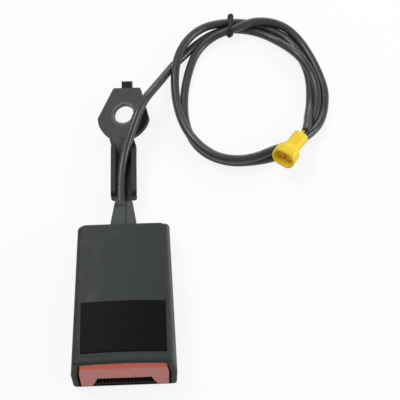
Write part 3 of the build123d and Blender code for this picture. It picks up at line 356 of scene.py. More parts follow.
lead_line = laid_line(MM * np.concatenate([
    LEAD_ROUTE, turn_points(FIRST_TURN), turn_points(SECOND_TURN), turn_points(THIRD_TURN),
    LEAD_END,
]))
lead = moulded("lead", [tube_skin(lead_line / MM, LEAD_RADIUS, 24)])
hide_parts("cable_lead", "cable_coil")
sheath = Finish("lead sheath", Specular_IOR_Level=0.5, Coat_Roughness=0.10)
mottle = sheath.noise(55, 4, 0.6)
scuff = sheath.ramp(sheath.noise(420, 3, 0.65), 0.58, 0.70)
flow = sheath.noise(38, 2)
sheath.feed(
    Base_Color=sheath.mixed(
        0.5 * scuff, sheath.mixed(mottle, (0.022, 0.026, 0.025, 1), (0.036, 0.041, 0.040, 1)),
        (0.060, 0.066, 0.064, 1),
    ),
    Roughness=0.28 + 0.16 * mottle + 0.12 * scuff,
    Coat_Weight=0.12 - 0.10 * scuff,
    Normal=sheath.bump(
        sheath.noise(1500, 2), 0.00003, 0.4, normal=sheath.bump(flow, 0.0012, 0.35)
    ),
)
sheath.on(lead)


# ---- twist tie ----------------------------------------------------------------------------------
# Flat black vinyl-covered wire tie, wrapped once round the three strands that meet there. Its two
# ends are twisted together outside the coil, and the doubled fold sticks out inside it.
TIE_MIDDLE = (67.6, 138.4)
TIE_LEAN = radians(3.0)                 # of the loop from +Y, towards +X
TIE_WIDTH, TIE_GAUGE = 2.6, 0.8
TIE_SHARPNESS = 3                       # of its bends round the strands, for each millimetre
TIED_STRANDS = [(0.8, 2.6), (-3.3, 7.0), (3.0, 6.6)]     # outwards and up, from the tie's middle


def tie_place(out, up, across):
    """The place in the buckle's frame of a point given outwards, up and across the tie's band."""
    return np.stack([
        TIE_MIDDLE[0] + out * sin(TIE_LEAN) + across * cos(TIE_LEAN),
        TIE_MIDDLE[1] + out * cos(TIE_LEAN) - across * sin(TIE_LEAN),
        up,
    ], axis=-1)


def tie_band():
    """The band: the line that hugs the strands, with a flat rounded strip carried along it.

    A direction's reach is the softened largest reach of the round strands in that direction, and
    the line's point is that reach along it plus the reach's slope square to it. The strip is a
    flattened rounded square, which leans a little from side to side as it goes round.
    """
    turn = np.linspace(0, tau, 180, endpoint=False)
    strands = np.array(TIED_STRANDS)
    reaches = strands @ [np.cos(turn), np.sin(turn)]
    largest = np.log(np.exp(TIE_SHARPNESS * reaches).sum(0)) / TIE_SHARPNESS
    reach = largest + LEAD_RADIUS + TIE_GAUGE / 2
    slope = np.gradient(np.concatenate([reach[-1:], reach, reach[:1]]), turn[1])[1:-1]
    out = reach * np.cos(turn) - slope * np.sin(turn)
    up = np.maximum(reach * np.sin(turn) + slope * np.cos(turn), TIE_GAUGE / 2)
    strip = np.linspace(0, tau, 20, endpoint=False)[None, :]
    thick = TIE_GAUGE / 2 * np.sign(np.sin(strip)) * np.abs(np.sin(strip)) ** 0.6
    broad = TIE_WIDTH / 2 * np.sign(np.cos(strip)) * np.abs(np.cos(strip)) ** 0.6
    broad = broad * (1 + 0.12 * np.sin(3 * turn + 1))[:, None]
    wander = 0.35 * np.sin(2 * turn)[:, None]
    return skin(tie_place(
        out[:, None] + thick * np.cos(turn)[:, None],
        np.maximum(up[:, None] + thick * np.sin(turn)[:, None], 0.0),
        broad + wander,
    ), ring=True)


def tie_twist(start, end, turns, wire):
    """Two ends of the tie twisted together: two tubes that wind round the same straight line.

    They come together towards the tip, where the wire thins by the eighth power of the way there.
    """
    along = np.linspace(0, 1, 60)
    middle = np.outer(1 - along, start) + np.outer(along, end)
    swell = wire * 1.05 * np.minimum(1, 3.5 * (1 - along) + 0.25)
    ends = []
    for half_turn in (0, pi):
        angle = tau * turns * along + half_turn
        path = tie_place(
            middle[:, 0], middle[:, 1] + swell * np.sin(angle), middle[:, 2] + swell * np.cos(angle)
        )
        ends.append(tube_skin(path, wire * (1 - 0.25 * along**8)))
    return ends


tie = moulded(
    "wrapped_tie",
    [tie_band()]
    + tie_twist((4.4, 7.2, 0.0), (8.0, 8.0, 0.4), turns=1.8, wire=0.95)
    + tie_twist((-4.4, 6.6, 0.0), (-7.6, 6.4, -0.2), turns=1.4, wire=1.05),
)
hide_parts("twist_tie")
vinyl = Finish("tie vinyl", Specular_IOR_Level=0.3)
crease = vinyl.noise(700, 4, 0.65)
vinyl.feed(
    Base_Color=vinyl.mixed(crease, (0.008, 0.009, 0.009, 1), (0.022, 0.024, 0.024, 1)),
    Roughness=0.45 + 0.25 * crease,
    Normal=vinyl.bump(crease, 0.00025, 0.6),
)
vinyl.on(tie)


# ---- connector housing --------------------------------------------------------------------------
# Yellow nylon two-way housing moulded in one piece: a slim body that the wires enter and a wider
# open head with cut corners, whose lower lip stands further out than its upper one.
CONNECTOR_TAIL = (104.9, 50.8, 14.5)
CONNECTOR_TURN = radians(233.0)         # from +X, where the mouth looks
MOUTH_SLANT = 1.7 / 5.2                 # of the rim along the axis, for its height
# Along the axis, half width, half height, corner cut, lift of the middle and lean of the rim.
CONNECTOR_ROWS = [
    (0.0, 4.0, 3.1, 1.6, 0.0, 0), (0.15, 4.45, 3.55, 1.9, 0.0, 0), (0.5, 4.7, 3.8, 2.1, 0.0, 0),
    (1.0, 4.75, 3.85, 2.1, 0.0, 0), (6.0, 4.75, 3.85, 2.1, 0.0, 0),
    (10.8, 4.75, 3.85, 2.1, 0.0, 0), (11.3, 4.85, 3.9, 2.1, 0.05, 0),
    (11.9, 5.6, 4.25, 2.3, 0.4, 0), (12.8, 6.7, 4.85, 2.8, 1.0, 0), (13.3, 7.1, 5.05, 3.0, 1.2, 0),
    (13.9, 7.3, 5.15, 3.1, 1.3, 0), (17.0, 7.35, 5.2, 3.1, 1.3, 0.3),
    (20.3, 7.35, 5.2, 3.1, 1.3, 0.9), (20.6, 7.25, 5.1, 3.1, 1.3, 1),
    (20.7, 7.0, 4.85, 3.0, 1.3, 1), (20.7, 6.5, 4.4, 2.9, 1.3, 1),
    (20.6, 6.25, 4.15, 2.8, 1.3, 1), (20.2, 6.15, 4.05, 2.7, 1.3, 0.9),
    (17.0, 6.1, 4.0, 2.7, 1.3, 0.3), (14.0, 6.05, 3.95, 2.6, 1.3, 0),
    (13.7, 5.8, 3.7, 2.4, 1.3, 0),
]


def connector_place(across, along, up):
    """The place in the buckle's frame of a point given across, along and up in the connector."""
    return np.stack([
        CONNECTOR_TAIL[0] + along * cos(CONNECTOR_TURN) + across * sin(CONNECTOR_TURN),
        CONNECTOR_TAIL[1] + along * sin(CONNECTOR_TURN) - across * cos(CONNECTOR_TURN),
        CONNECTOR_TAIL[2] + up,
    ], axis=-1)


def cut_corner_ring(half_width, half_height, cut, turn):
    """An eight-sided outline with softened corners, as points round the middle.

    Along each direction the reach is one over the twelfth-power mean of the direction's share of
    the half width, of the half height, and of their sum less the corner cut.
    """
    x, z = np.abs(np.cos(turn)), np.abs(np.sin(turn))
    shares = np.stack([x / half_width, z / half_height, (x + z) / (half_width + half_height - cut)])
    reach = (shares**12).sum(0) ** (-1 / 12)
    return reach * np.cos(turn), reach * np.sin(turn)


def connector_skin():
    """The cut-corner outline carried along the axis, out over the rim and back down the pocket.

    Near the mouth each point moves along the axis by its own height, which leans the rim.
    """
    along, wide, high, cut, lift, lean = [
        column[:, None] for column in np.transpose(CONNECTOR_ROWS).astype(float)
    ]
    turn = np.linspace(0, tau, 128, endpoint=False)[None, :]
    across, up = cut_corner_ring(wide, high, cut, turn)
    return skin(connector_place(across, along - MOUTH_SLANT * lean * up, up + lift))


connector = moulded("connector_shell", [connector_skin()])
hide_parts("connector_housing")
nylon = Finish("connector nylon", Specular_IOR_Level=0.35)
cloud = nylon.noise(140, 4, 0.6)
smear = nylon.noise(1.0, 3, 0.6, at=nylon.pulled(900, 250, 900))
nick = nylon.ramp(nylon.noise(900, 2), 0.66, 0.74)
nylon.feed(
    Base_Color=nylon.mixed(
        0.35 * nick, nylon.mixed(cloud, (0.80, 0.56, 0.012, 1), (0.88, 0.66, 0.040, 1)),
        (0.93, 0.80, 0.24, 1),
    ),
    Roughness=0.30 + 0.14 * smear + 0.15 * nick,
    Normal=nylon.bump(smear, 0.00006, 0.5, normal=nylon.bump(nick, 0.00008, 0.3)),
)
nylon.on(connector)


# ---- connector retainer and terminals -----------------------------------------------------------
# Orange nylon retainer pressed into the mouth's pocket, with a Y-shaped gap between its webs, and
# the two stamped and tinned brass terminals that it locks in the housing.
RETAINER_REAR, RETAINER_FACE = 13.75, 17.9              # along the connector
RETAINER_LIFT = 1.3                                     # of its middle, as the pocket's
RETAINER_OUTLINE = (5.95, 3.85, 2.6)                    # half width, half height, corner cut
GAP_ENDS = ((-3.2, 2.4), (3.2, 2.4), (0.0, -3.0))       # across and up, of the arms of the Y
GAP_HALF, GAP_DEPTH = 0.55, 1.6


def retainer_skin():
    """A block whose front is sunk along the three arms of a Y.

    The front is a disc of shrinking cut-corner rings, drawn back a little at its edge. A point
    sinks by the depth times e to the minus fourth power of its distance from the nearest arm.
    """
    turn = np.linspace(0, tau, 96, endpoint=False)[None, :]
    shrink = np.linspace(1, 0.02, 40)[:, None]
    across, up = (shrink * part for part in cut_corner_ring(*RETAINER_OUTLINE, turn))
    away = np.inf
    for out, rise in GAP_ENDS:
        share = np.clip((across * out + up * rise) / (out**2 + rise**2), 0, 1)
        away = np.minimum(away, np.hypot(across - share * out, up - share * rise))
    front = RETAINER_FACE - 0.25 * shrink**12 - GAP_DEPTH * np.exp(-(away / GAP_HALF) ** 4)
    edge_across, edge_up = 0.98 * across[:1], 0.98 * up[:1]
    back = np.full_like(edge_up, RETAINER_REAR)
    return skin(np.concatenate([
        connector_place(edge_across, back, edge_up + RETAINER_LIFT),
        connector_place(across, front, up + RETAINER_LIFT),
    ]))


retainer = moulded("retainer_webs", [retainer_skin()])
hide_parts("connector_retainer")
web = Finish("retainer nylon", Specular_IOR_Level=0.35)
swirl = web.noise(260, 4, 0.6)
web.feed(
    Base_Color=web.mixed(swirl, (0.86, 0.34, 0.008, 1), (0.94, 0.48, 0.03, 1)),
    Roughness=0.34 + 0.16 * swirl,
    Normal=web.bump(web.noise(1200, 2), 0.00005, 0.4),
)
web.on(retainer)

brass = Finish("tinned brass", Metallic=1.0)
tin = brass.noise(1.0, 3, 0.6, at=brass.pulled(2600, 500, 2600))
brass.feed(
    Base_Color=brass.mixed(tin, (0.62, 0.50, 0.27, 1), (0.80, 0.74, 0.60, 1)),
    Roughness=0.24 + 0.20 * tin,
    Normal=brass.bump(tin, 0.00003, 0.5),
)
brass.on(nodes["connector_terminals"])


# ---- connector wires ----------------------------------------------------------------------------
# The lead's two cores, one yellow and one blue, bared of the sheath for the last few millimetres
# and led into the rear of the connector's body.
def core_finish(name, low, high):
    """Extruded insulation: a cloudy colour with faint lengthwise draw lines."""
    core = Finish(name, Specular_IOR_Level=0.45)
    haze = core.noise(500, 3)
    core.feed(
        Base_Color=core.mixed(haze, (*low, 1), (*high, 1)),
        Roughness=0.30 + 0.15 * haze,
        Normal=core.bump(core.noise(1.0, 2, at=core.pulled(4000, 900, 4000)), 0.00003, 0.4),
    )
    return core


CORE_RADIUS = 0.65
# Across, along and up in the connector: the core's two ends, and two points that it bends towards.
CORE_MARKS = [(1.9, 3.0, 0.0), (1.9, -1.6, 0.0), (1.2, -2.6, -1.6), (0.9, -4.8, -2.9)]


def core_skin(side):
    """A thin tube from the body's rear to the lead's end, along the cubic bend of its four marks.

    The weights are the four cubic shares: those of the ends, and three times those between.
    """
    share = np.linspace(0, 1, 30)[:, None]
    weights = np.hstack([
        (1 - share) ** 3, 3 * share * (1 - share) ** 2, 3 * share**2 * (1 - share), share**3
    ])
    across, along, up = (weights @ CORE_MARKS).T
    return tube_skin(connector_place(side * across, along, up), CORE_RADIUS, 12)


yellow_core = moulded("core_yellow", [core_skin(1)])
blue_core = moulded("core_blue", [core_skin(-1)])
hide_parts("wire_yellow")
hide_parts("wire_blue")
core_finish("yellow core", (0.70, 0.47, 0.02), (0.84, 0.62, 0.06)).on(yellow_core)
core_finish("blue core", (0.035, 0.045, 0.24), (0.07, 0.09, 0.38)).on(blue_core)


# ---- covers -------------------------------------------------------------------------------------
# Two glass-filled nylon shells, spark-eroded to a fine even grain and snapped together along the
# parting line. Handling polishes the grain in scattered spots and leaves fine scratches on the
# flats.
def grained_plastic(name, dark, light, grain_scale, sheen=0.35):
    """Textured moulding: fine grain, slow patches of tone, long scratches and polished spots."""
    made = Finish(name, Specular_IOR_Level=sheen)
    patch = made.noise(28, 4, 0.6)
    grain = made.noise(grain_scale, 3, 0.65)
    scratch = made.ramp(made.noise(1.0, 4, 0.7, at=made.pulled(1500, 110, 500)), 0.66, 0.74)
    polish = made.ramp(made.noise(90, 3), 0.52, 0.72)
    tone = made.mixed(0.6 * patch + 0.4 * grain, (*dark, 1), (*light, 1))
    made.feed(
        Base_Color=made.mixed(0.30 * scratch, tone, (*(2.4 * part for part in light), 1)),
        Roughness=0.52 + 0.12 * grain - 0.10 * polish - 0.06 * scratch,
        Normal=made.bump(
            grain, 0.00007, 0.45, normal=made.bump(made.noise(130, 2), 0.0002, 0.10)
        ),
    )
    return made


cover = grained_plastic("cover plastic", (0.018, 0.023, 0.022), (0.027, 0.033, 0.031), 2600, 0.32)
cover.on(nodes["rear_cover"])

BUTTON_END, STALK_END = -94.0, -3.0     # Y of the covers' ends at the table and at the parting line
HALF_WIDTH, TAPER = 28.0, 2.3 / 91      # at the button end, and its fall along the covers
PARTING, FACE_TOP = 12.0, 26.5
BUTTON_LEAN, SIDE_LEAN, STALK_LEAN = tan(radians(14)), tan(radians(8.5)), tan(radians(25))
FACE_FALL, DISH_FALL = tan(radians(1.8)), tan(radians(0.4))
FACE_BARREL = 158.05                    # radius of the face's crown
LIP_Y = -88.0                           # where the face meets the button end
DISH_DEPTH, DISH_HALF, DISH_SIDE = 1.1, 23.3, 1.7       # the last is its sides' run-up
DISH_LIP = (2.2, 4.3)                   # where its lip starts and ends, from the button end
BOOT_NOTCH = (7.75, 15.75)              # half width and height of the boot's way out
SIDE_WALL, ROOF = 3.2, 2.2              # thickness of the shell
SHOULDER, INNER_SHOULDER = 2.8, 1.0     # radius between wall and face, outside and inside
CORNER, INNER_CORNER = 4.2, 3.6         # radius of the outline's corner
CORNER_START, CORNER_END = 0.72, 0.80   # shares of the outline where its corner lies
SHOULDER_START = 24.0                   # first guess of the shoulder's height
SHOULDER_STOP = pi / 2 - 0.14           # of its turn, just short of level
FACE_BOW = 14                           # of the face's lines towards the button
BOW_START, BOW_PEAK = 0.3, 0.74         # shares where the lines begin to bow, and bow most


def soft_step(value, low, high):
    """Nought below low, one above high, and three squares less two cubes of the share between."""
    share = np.clip((value - low) / (high - low), 0, 1)
    return share * share * (3 - 2 * share)


def face_height(x, y, dished=True):
    """The front face: a barrel that falls towards the stalk, with the label's dish sunk in it.

    The dish runs out where its flatter floor meets the face. Its two sides and its lip by the
    button turn over softly.
    """
    crown = np.sqrt(FACE_BARREL**2 - x**2) - FACE_BARREL
    run = y - LIP_Y
    depth = np.clip(DISH_DEPTH - run * (FACE_FALL - DISH_FALL), 0, None)
    inside = 1 - soft_step(np.abs(x), DISH_HALF, DISH_HALF + DISH_SIDE)
    dish = depth * inside * soft_step(run, *DISH_LIP)
    return FACE_TOP + crown - run * FACE_FALL - dished * dish


def cover_outline(share, height, inset, wall):
    """A point of the left half of the covers' outline at a height: x and y.

    The outline runs along the side, round the corner and along the stalk end to the middle. Sides,
    corner and end lean in with the height, and draw in by the inset and the wall, of which the
    end has four fifths.
    """
    radius = INNER_CORNER if wall else CORNER
    end = STALK_END - STALK_LEAN * (height - PARTING) - inset - wall * 0.8
    start = BUTTON_END + BUTTON_LEAN * height
    half = HALF_WIDTH - SIDE_LEAN * (height - PARTING) - inset - wall
    side = np.clip(share / CORNER_START, 0, 1)
    bend = np.clip((share - CORNER_START) / (CORNER_END - CORNER_START), 0, 1) * pi / 2
    run = np.clip((share - CORNER_END) / (1 - CORNER_END), 0, 1)
    y = start + (end - radius - start) * side + radius * np.sin(bend)
    narrow = half - TAPER * (y - BUTTON_END)
    x = (narrow - radius * (1 - np.cos(bend))) * (1 - run)
    return -x, y


def cover_path(share, wall, roof, turn_radius, dished, extra):
    """Half of one hoop of the cover for each share: up the wall, over the shoulder, to the middle.

    The wall is the outline at rising heights from the parting line, or from the top of the boot's
    notch by the middle of the stalk end. The shoulder adds a quarter circle's inset and rise, and
    ends on the face, whose height there is found by going round three times. From there the line
    crosses the face, bowed towards the button by a half parabola near the stalk end.
    """
    share, extra = share[:, None], extra[:, None]
    level = np.full_like(share, SHOULDER_START)
    for _ in range(3):
        base = level - turn_radius * sin(SHOULDER_STOP)
        drawn_in = turn_radius * (1 - cos(SHOULDER_STOP)) + extra
        level = face_height(*cover_outline(share, base, drawn_in, wall), dished) - roof - extra
    foot_x, _ = cover_outline(share, PARTING, extra, wall)
    half_notch, notch_height = BOOT_NOTCH
    notched = 1 - soft_step(np.abs(foot_x), half_notch, half_notch + 0.2)
    foot = PARTING + (notch_height - PARTING) * notched
    rise = foot + (base - foot) * np.linspace(0, 1, 12)[None, :]
    wall_x, wall_y = cover_outline(share, rise, extra, wall)
    turn = np.linspace(0, SHOULDER_STOP, 12)[None, 1:]
    arc_z = base + turn_radius * np.sin(turn)
    arc_x, arc_y = cover_outline(share, base, turn_radius * (1 - np.cos(turn)) + extra, wall)
    across = (1 - np.cos(np.linspace(0, pi / 2, 62)))[None, 1:]
    face_x = arc_x[:, -1:] * (1 - across)
    bow = FACE_BOW * np.where(
        share < BOW_PEAK, soft_step(share, BOW_START, BOW_PEAK), (1 - share) / (1 - BOW_PEAK)
    )
    face_y = arc_y[:, -1:] - bow * (1 - (1 - across) ** 2)
    face_z = face_height(face_x, face_y, dished) - roof - extra
    x = np.hstack([wall_x, arc_x, face_x])
    y = np.hstack([wall_y, arc_y, face_y])
    z = np.hstack([rise, arc_z, face_z])
    return x, y, z


def open_skin(grid):
    """The faces of a grid whose columns go round, its first and last rows left to be welded."""
    points, triangles = skin(grid)
    inner = np.all(triangles < grid.shape[0] * grid.shape[1], axis=1)
    return points[:-2], triangles[inner]


def front_cover_skin():
    """The shell: each hoop goes over the outside from left to right and back along the inside.

    The first hoops round the mouth's edge, with an inset that grows as they near it, and the last
    hoop has shrunk to a line in the middle of the stalk end.
    """
    share = np.concatenate([
        [0.0, 0.0003, 0.0015, 0.004, 0.008, 0.013], np.linspace(0.018, CORNER_START, 168),
        np.linspace(CORNER_START + 0.005, CORNER_END, 16), np.linspace(CORNER_END + 0.005, 1, 46),
    ])
    extra = np.zeros(len(share))
    extra[:6] = 1.5, 1.15, 0.75, 0.4, 0.15, 0.04
    outside = cover_path(share, 0, 0, SHOULDER, True, extra)
    inside = cover_path(share, SIDE_WALL, ROOF, INNER_SHOULDER, False, -0.25 * extra)
    hoops = []
    for half_hoop in (outside, inside):
        left = np.stack(half_hoop, axis=-1)
        right = left[:, -2::-1] * (-1, 1, 1)
        hoops.append(np.concatenate([left, right], axis=1))
    over, under = hoops[0], hoops[1][:, ::-1]
    between = (over[:1] + under[:1, ::-1]) / 2
    rim = np.concatenate([between, between[:, ::-1]], axis=1)
    return open_skin(np.concatenate([rim, np.concatenate([over, under], axis=1)]))


front_cover = moulded("front_cover_shell", [front_cover_skin()])
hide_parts("front_cover")
cover.on(front_cover)


# ---- face label ---------------------------------------------------------------------------------
# Bare black polyester film stuck in the dish of the front cover. It carries no printing: only the
# satin of the film, a little orange peel from the glue below it, and specks of dust.
LABEL_EDGES = (-22.0, 23.0, -82.6, -54.2)       # left, right, near and far
LABEL_THICKNESS, LABEL_ROUND = 0.4, 0.3         # the film's, and how far in its edge is rounded
GLUE = 0.05                             # how deep the film lies in the glue


def close_set(start, end, *shares):
    """Places from start to end: sixty even ones, and a few close to each end at these shares."""
    close = np.array([0, *shares])
    share = np.concatenate([close, np.linspace(0.01, 0.99, 60), 1 - close[::-1]])
    return start + (end - start) * share


def label_skin():
    """A sheet on the dish's floor: each hoop goes over its top and back under it.

    Near an edge the top sinks to the floor by a rounded share of the thickness.
    """
    left, right, near, far = LABEL_EDGES
    x, y = np.meshgrid(
        close_set(left, right, 0.001, 0.003), close_set(near, far, 0.0015, 0.0045)
    )
    edge = np.minimum.reduce([x - left, right - x, y - near, far - y])
    floor_z = face_height(x, y)
    top = floor_z + LABEL_THICKNESS * (0.2 + 0.8 * np.sqrt(np.clip(edge / LABEL_ROUND, 0, 1)))
    over, under = np.stack([x, y, top], axis=-1), np.stack([x, y, floor_z - GLUE], axis=-1)
    return skin(np.concatenate([over, under[:, ::-1]], axis=1))


label = moulded("label_film", [label_skin()])
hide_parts("face_label")
film = Finish("black film", Specular_IOR_Level=0.06)
peel = film.noise(170, 3, 0.55)
dust = film.ramp(film.noise(2100, 2, 0.5), 0.70, 0.76)
film.feed(
    Base_Color=film.mixed(
        0.25 * dust, film.mixed(peel, (0.0040, 0.0044, 0.0054, 1), (0.0066, 0.0072, 0.0084, 1)),
        (0.05, 0.05, 0.05, 1),
    ),
    Roughness=0.42 + 0.14 * peel + 0.2 * dust,
    Normal=film.bump(peel, 0.00025, 0.35),
)
film.on(label)


# ---- slot guide ---------------------------------------------------------------------------------
# Black acetal guide along the lower lip of the tongue slot, with a row of upright ribs that the
# tongue's blade slides on. The blade burnishes the tips of the ribs.
guide = Finish("guide acetal", Specular_IOR_Level=0.3)
wear = guide.ramp(guide.axis(2) + 0.0006 * guide.noise(900, 2), 0.0040, 0.0048)
speck = guide.noise(1700, 3)
guide.feed(
    Base_Color=guide.mixed(
        wear, guide.mixed(speck, (0.007, 0.007, 0.007, 1), (0.014, 0.014, 0.014, 1)),
        (0.030, 0.030, 0.030, 1),
    ),
    Roughness=0.55 - 0.25 * wear + 0.1 * speck,
    Normal=guide.bump(speck, 0.00006, 0.5),
)
guide.on(nodes["slot_guide"])


# ---- latch frame and its rivet ------------------------------------------------------------------
# U-shaped frame pressed from 2.2 mm strip and zinc plated, and the shouldered steel rivet that
# ties the strap's paddle to its base. The plating shows the strip's rolling lines and pale bloom.
def plated_steel(name, dark, light, *lay):
    """Plated sheet: rolling lines drawn out along one axis, a fine spangle, worn bright spots."""
    made = Finish(name, Metallic=1.0)
    lines = made.noise(1.0, 4, 0.7, at=made.pulled(*lay))
    spangle = made.noise(420, 3, 0.6)
    bright = made.ramp(made.noise(150, 3), 0.56, 0.70)
    tone = made.mixed(0.55 * lines + 0.45 * spangle, (*dark, 1), (*light, 1))
    made.feed(
        Base_Color=made.mixed(0.4 * bright, tone, (0.66, 0.66, 0.65, 1)),
        Roughness=0.34 + 0.18 * spangle - 0.12 * bright,
        Normal=made.bump(lines, 0.00004, 0.5),
    )
    return made


plated_steel("zinc plate", (0.30, 0.30, 0.29), (0.50, 0.50, 0.49), 2800, 160, 2800).on(
    nodes["latch_frame"]
)
upset = Finish("rivet steel", Metallic=1.0)
rings = upset.noise(1.0, 3, 0.5, at=upset.pulled(700, 700, 5200))
upset.feed(
    Base_Color=upset.mixed(rings, (0.36, 0.36, 0.35, 1), (0.58, 0.58, 0.57, 1)),
    Roughness=0.30 + 0.22 * rings,
    Normal=upset.bump(rings, 0.00006, 0.5),
)
upset.on(nodes["frame_rivet"])


# ---- latch pin, latch and lock bar --------------------------------------------------------------
# Case-hardened latch stamping that turns on a ground pin, and the ground bar that slides over it
# and holds it down. Pin and bar keep fine grinding marks; the latch is blued by its hardening.
ground = plated_steel("ground pin", (0.44, 0.44, 0.44), (0.64, 0.64, 0.63), 5200, 700, 700)
ground.on(nodes["latch_pin"], nodes["lock_bar"])
hardened = Finish("hardened steel", Metallic=1.0)
stroke = hardened.noise(1.0, 4, 0.7, at=hardened.pulled(2600, 180, 2600))
tint = hardened.noise(60, 3)
hardened.feed(
    Base_Color=hardened.mixed(
        0.5 * stroke, hardened.mixed(tint, (0.30, 0.27, 0.23, 1), (0.30, 0.31, 0.36, 1)),
        (0.56, 0.55, 0.53, 1),
    ),
    Roughness=0.30 + 0.18 * stroke,
    Normal=hardened.bump(stroke, 0.00004, 0.5),
)
hardened.on(nodes["latch"])


# ---- springs ------------------------------------------------------------------------------------
# Cold-drawn music wire: the latch's torsion spring round its pin, the ejector's spring and the
# pair behind the button. The wire is oiled and shows darker coiling marks.
music_wire = Finish("music wire", Metallic=1.0)
coiling = music_wire.noise(1300, 3, 0.6)
music_wire.feed(
    Base_Color=music_wire.mixed(coiling, (0.28, 0.28, 0.28, 1), (0.60, 0.59, 0.57, 1)),
    Roughness=0.22 + 0.22 * coiling,
    Normal=music_wire.bump(coiling, 0.00003, 0.5),
)


def compression_spring(x, z, start, end, radius, wire, turns):
    """Wire wound round a line along Y: its circle turns evenly, closed up for a turn at each end.

    The place along the line follows the turning angle, slowed to one wire's thickness a turn over
    the first and the last turn by a straight-line rule between those corners.
    """
    angle = np.linspace(0, tau * (turns + 2), 40 * (turns + 2))
    low, high = start + wire / 2, end - wire / 2
    along = np.interp(
        angle, [0, tau, tau * (turns + 1), tau * (turns + 2)], [low, low + wire, high - wire, high]
    )
    path = np.stack([x + radius * np.cos(angle), along, z + radius * np.sin(angle)], axis=-1)
    return tube_skin(path, wire / 2, 10)


# The ejector's spring stands between the ejector and the frame's tab.
pusher = moulded("ejector_coil", [
    compression_spring(x=0.0, z=6.05, start=-52.9, end=-33.1, radius=1.45, wire=0.5, turns=8)
])
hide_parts("ejector_spring")
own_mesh(pusher)
# The pair stand between the button's face and the rear cover's stops, one on each side.
returns = moulded("button_coils", [
    compression_spring(x, z=11.0, start=-87.6, end=-72.1, radius=1.6, wire=0.5, turns=6)
    for x in (-20.9, 20.9)
])
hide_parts("button_springs")
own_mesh(returns)


# The latch's spring is wound round the latch pin, in the middle of the frame.
PIN_Y, PIN_Z = -40.0, 12.8
TORSION_RADIUS, TORSION_HALF, TORSION_WIRE = 2.55, 1.9, 0.8
FRONT_TIP = np.array([-TORSION_HALF, -49.0, 11.1])      # under the latch's arm
BACK_TIP = np.array([TORSION_HALF, -31.0, 10.25])       # on the frame's tab


def torsion_spring():
    """Four close turns round the latch pin, one leg forward under the arm and one back to the tab.

    The turns are a circle in Y and Z that moves along X; each leg is a straight run off it.
    """
    angle = np.linspace(-pi / 2, tau * 4 - pi / 2, 200)
    turns = np.stack([
        np.linspace(-TORSION_HALF, TORSION_HALF, 200),
        PIN_Y + TORSION_RADIUS * np.cos(angle), PIN_Z + TORSION_RADIUS * np.sin(angle),
    ], axis=-1)
    leg = np.linspace(0, 1, 24)[:, None]
    front = FRONT_TIP * (1 - leg) + turns[0] * leg
    back = turns[-1] * (1 - leg) + BACK_TIP * leg
    return tube_skin(np.concatenate([front[:-1], turns, back[1:]]), TORSION_WIRE / 2, 10)


lifter = moulded("latch_torsion", [torsion_spring()], body=None)
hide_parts("latch_spring")
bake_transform(lifter)
music_wire.on(pusher, returns, lifter)


# ---- ejector and switch plunger -----------------------------------------------------------------
# Natural acetal slides. The ejector's fork pushes the tongue out and its lug pushes the plunger
# of the switch; both are milky, slightly waxy and greyed by grease where they rub.
acetal = Finish("natural acetal", Specular_IOR_Level=0.5)
milk = acetal.noise(110, 4, 0.6)
grease = acetal.ramp(acetal.noise(300, 3), 0.50, 0.72)
acetal.feed(
    Base_Color=acetal.mixed(
        0.45 * grease, acetal.mixed(milk, (0.62, 0.60, 0.53, 1), (0.74, 0.72, 0.66, 1)),
        (0.36, 0.34, 0.29, 1),
    ),
    Roughness=0.32 + 0.18 * milk - 0.10 * grease,
    Normal=acetal.bump(milk, 0.00012, 0.3),
)
acetal.on(nodes["ejector"], nodes["switch_plunger"])


# ---- push button --------------------------------------------------------------------------------
# Orange-red button moulded in polished acrylic-capped plastic, with two long arms that ride beside
# the frame. Thumbs dull the polished face, and its top edge is matt; there the colour is a painted
# highlight, a brighter orange that stands for the lamps' light from above.
button = Finish("button red", Specular_IOR_Level=0.5, Coat_Roughness=0.08, Coat_IOR=1.5)
band = button.noise(1.0, 3, 0.55, at=button.pulled(60, 60, 420))
thumb = button.ramp(button.noise(240, 3, 0.6), 0.50, 0.75)
hair = button.ramp(button.noise(1.0, 3, 0.7, at=button.pulled(260, 2400, 2400)), 0.64, 0.72)
# Painted highlight: the upper edge's brighter orange stands for light from above; the same mask
# makes it matt.
matt_top_painted_lit = button.ramp(button.axis(2) + 0.0004 * button.noise(300, 2), 0.0168, 0.0186)
button.feed(
    Base_Color=button.mixed(
        0.25 * hair,
        button.mixed(
            matt_top_painted_lit, button.mixed(band, (0.48, 0.050, 0.026, 1), (0.56, 0.068, 0.034, 1)),
            (0.72, 0.085, 0.018, 1),
        ),
        (0.74, 0.20, 0.14, 1),
    ),
    Roughness=0.24 + 0.14 * thumb + 0.12 * hair + 0.15 * matt_top_painted_lit,
    Coat_Weight=(0.95 - 0.3 * thumb) * (1 - matt_top_painted_lit),
    Normal=button.bump(thumb, 0.00003, 0.3),
)
button.on(nodes["push_button"])


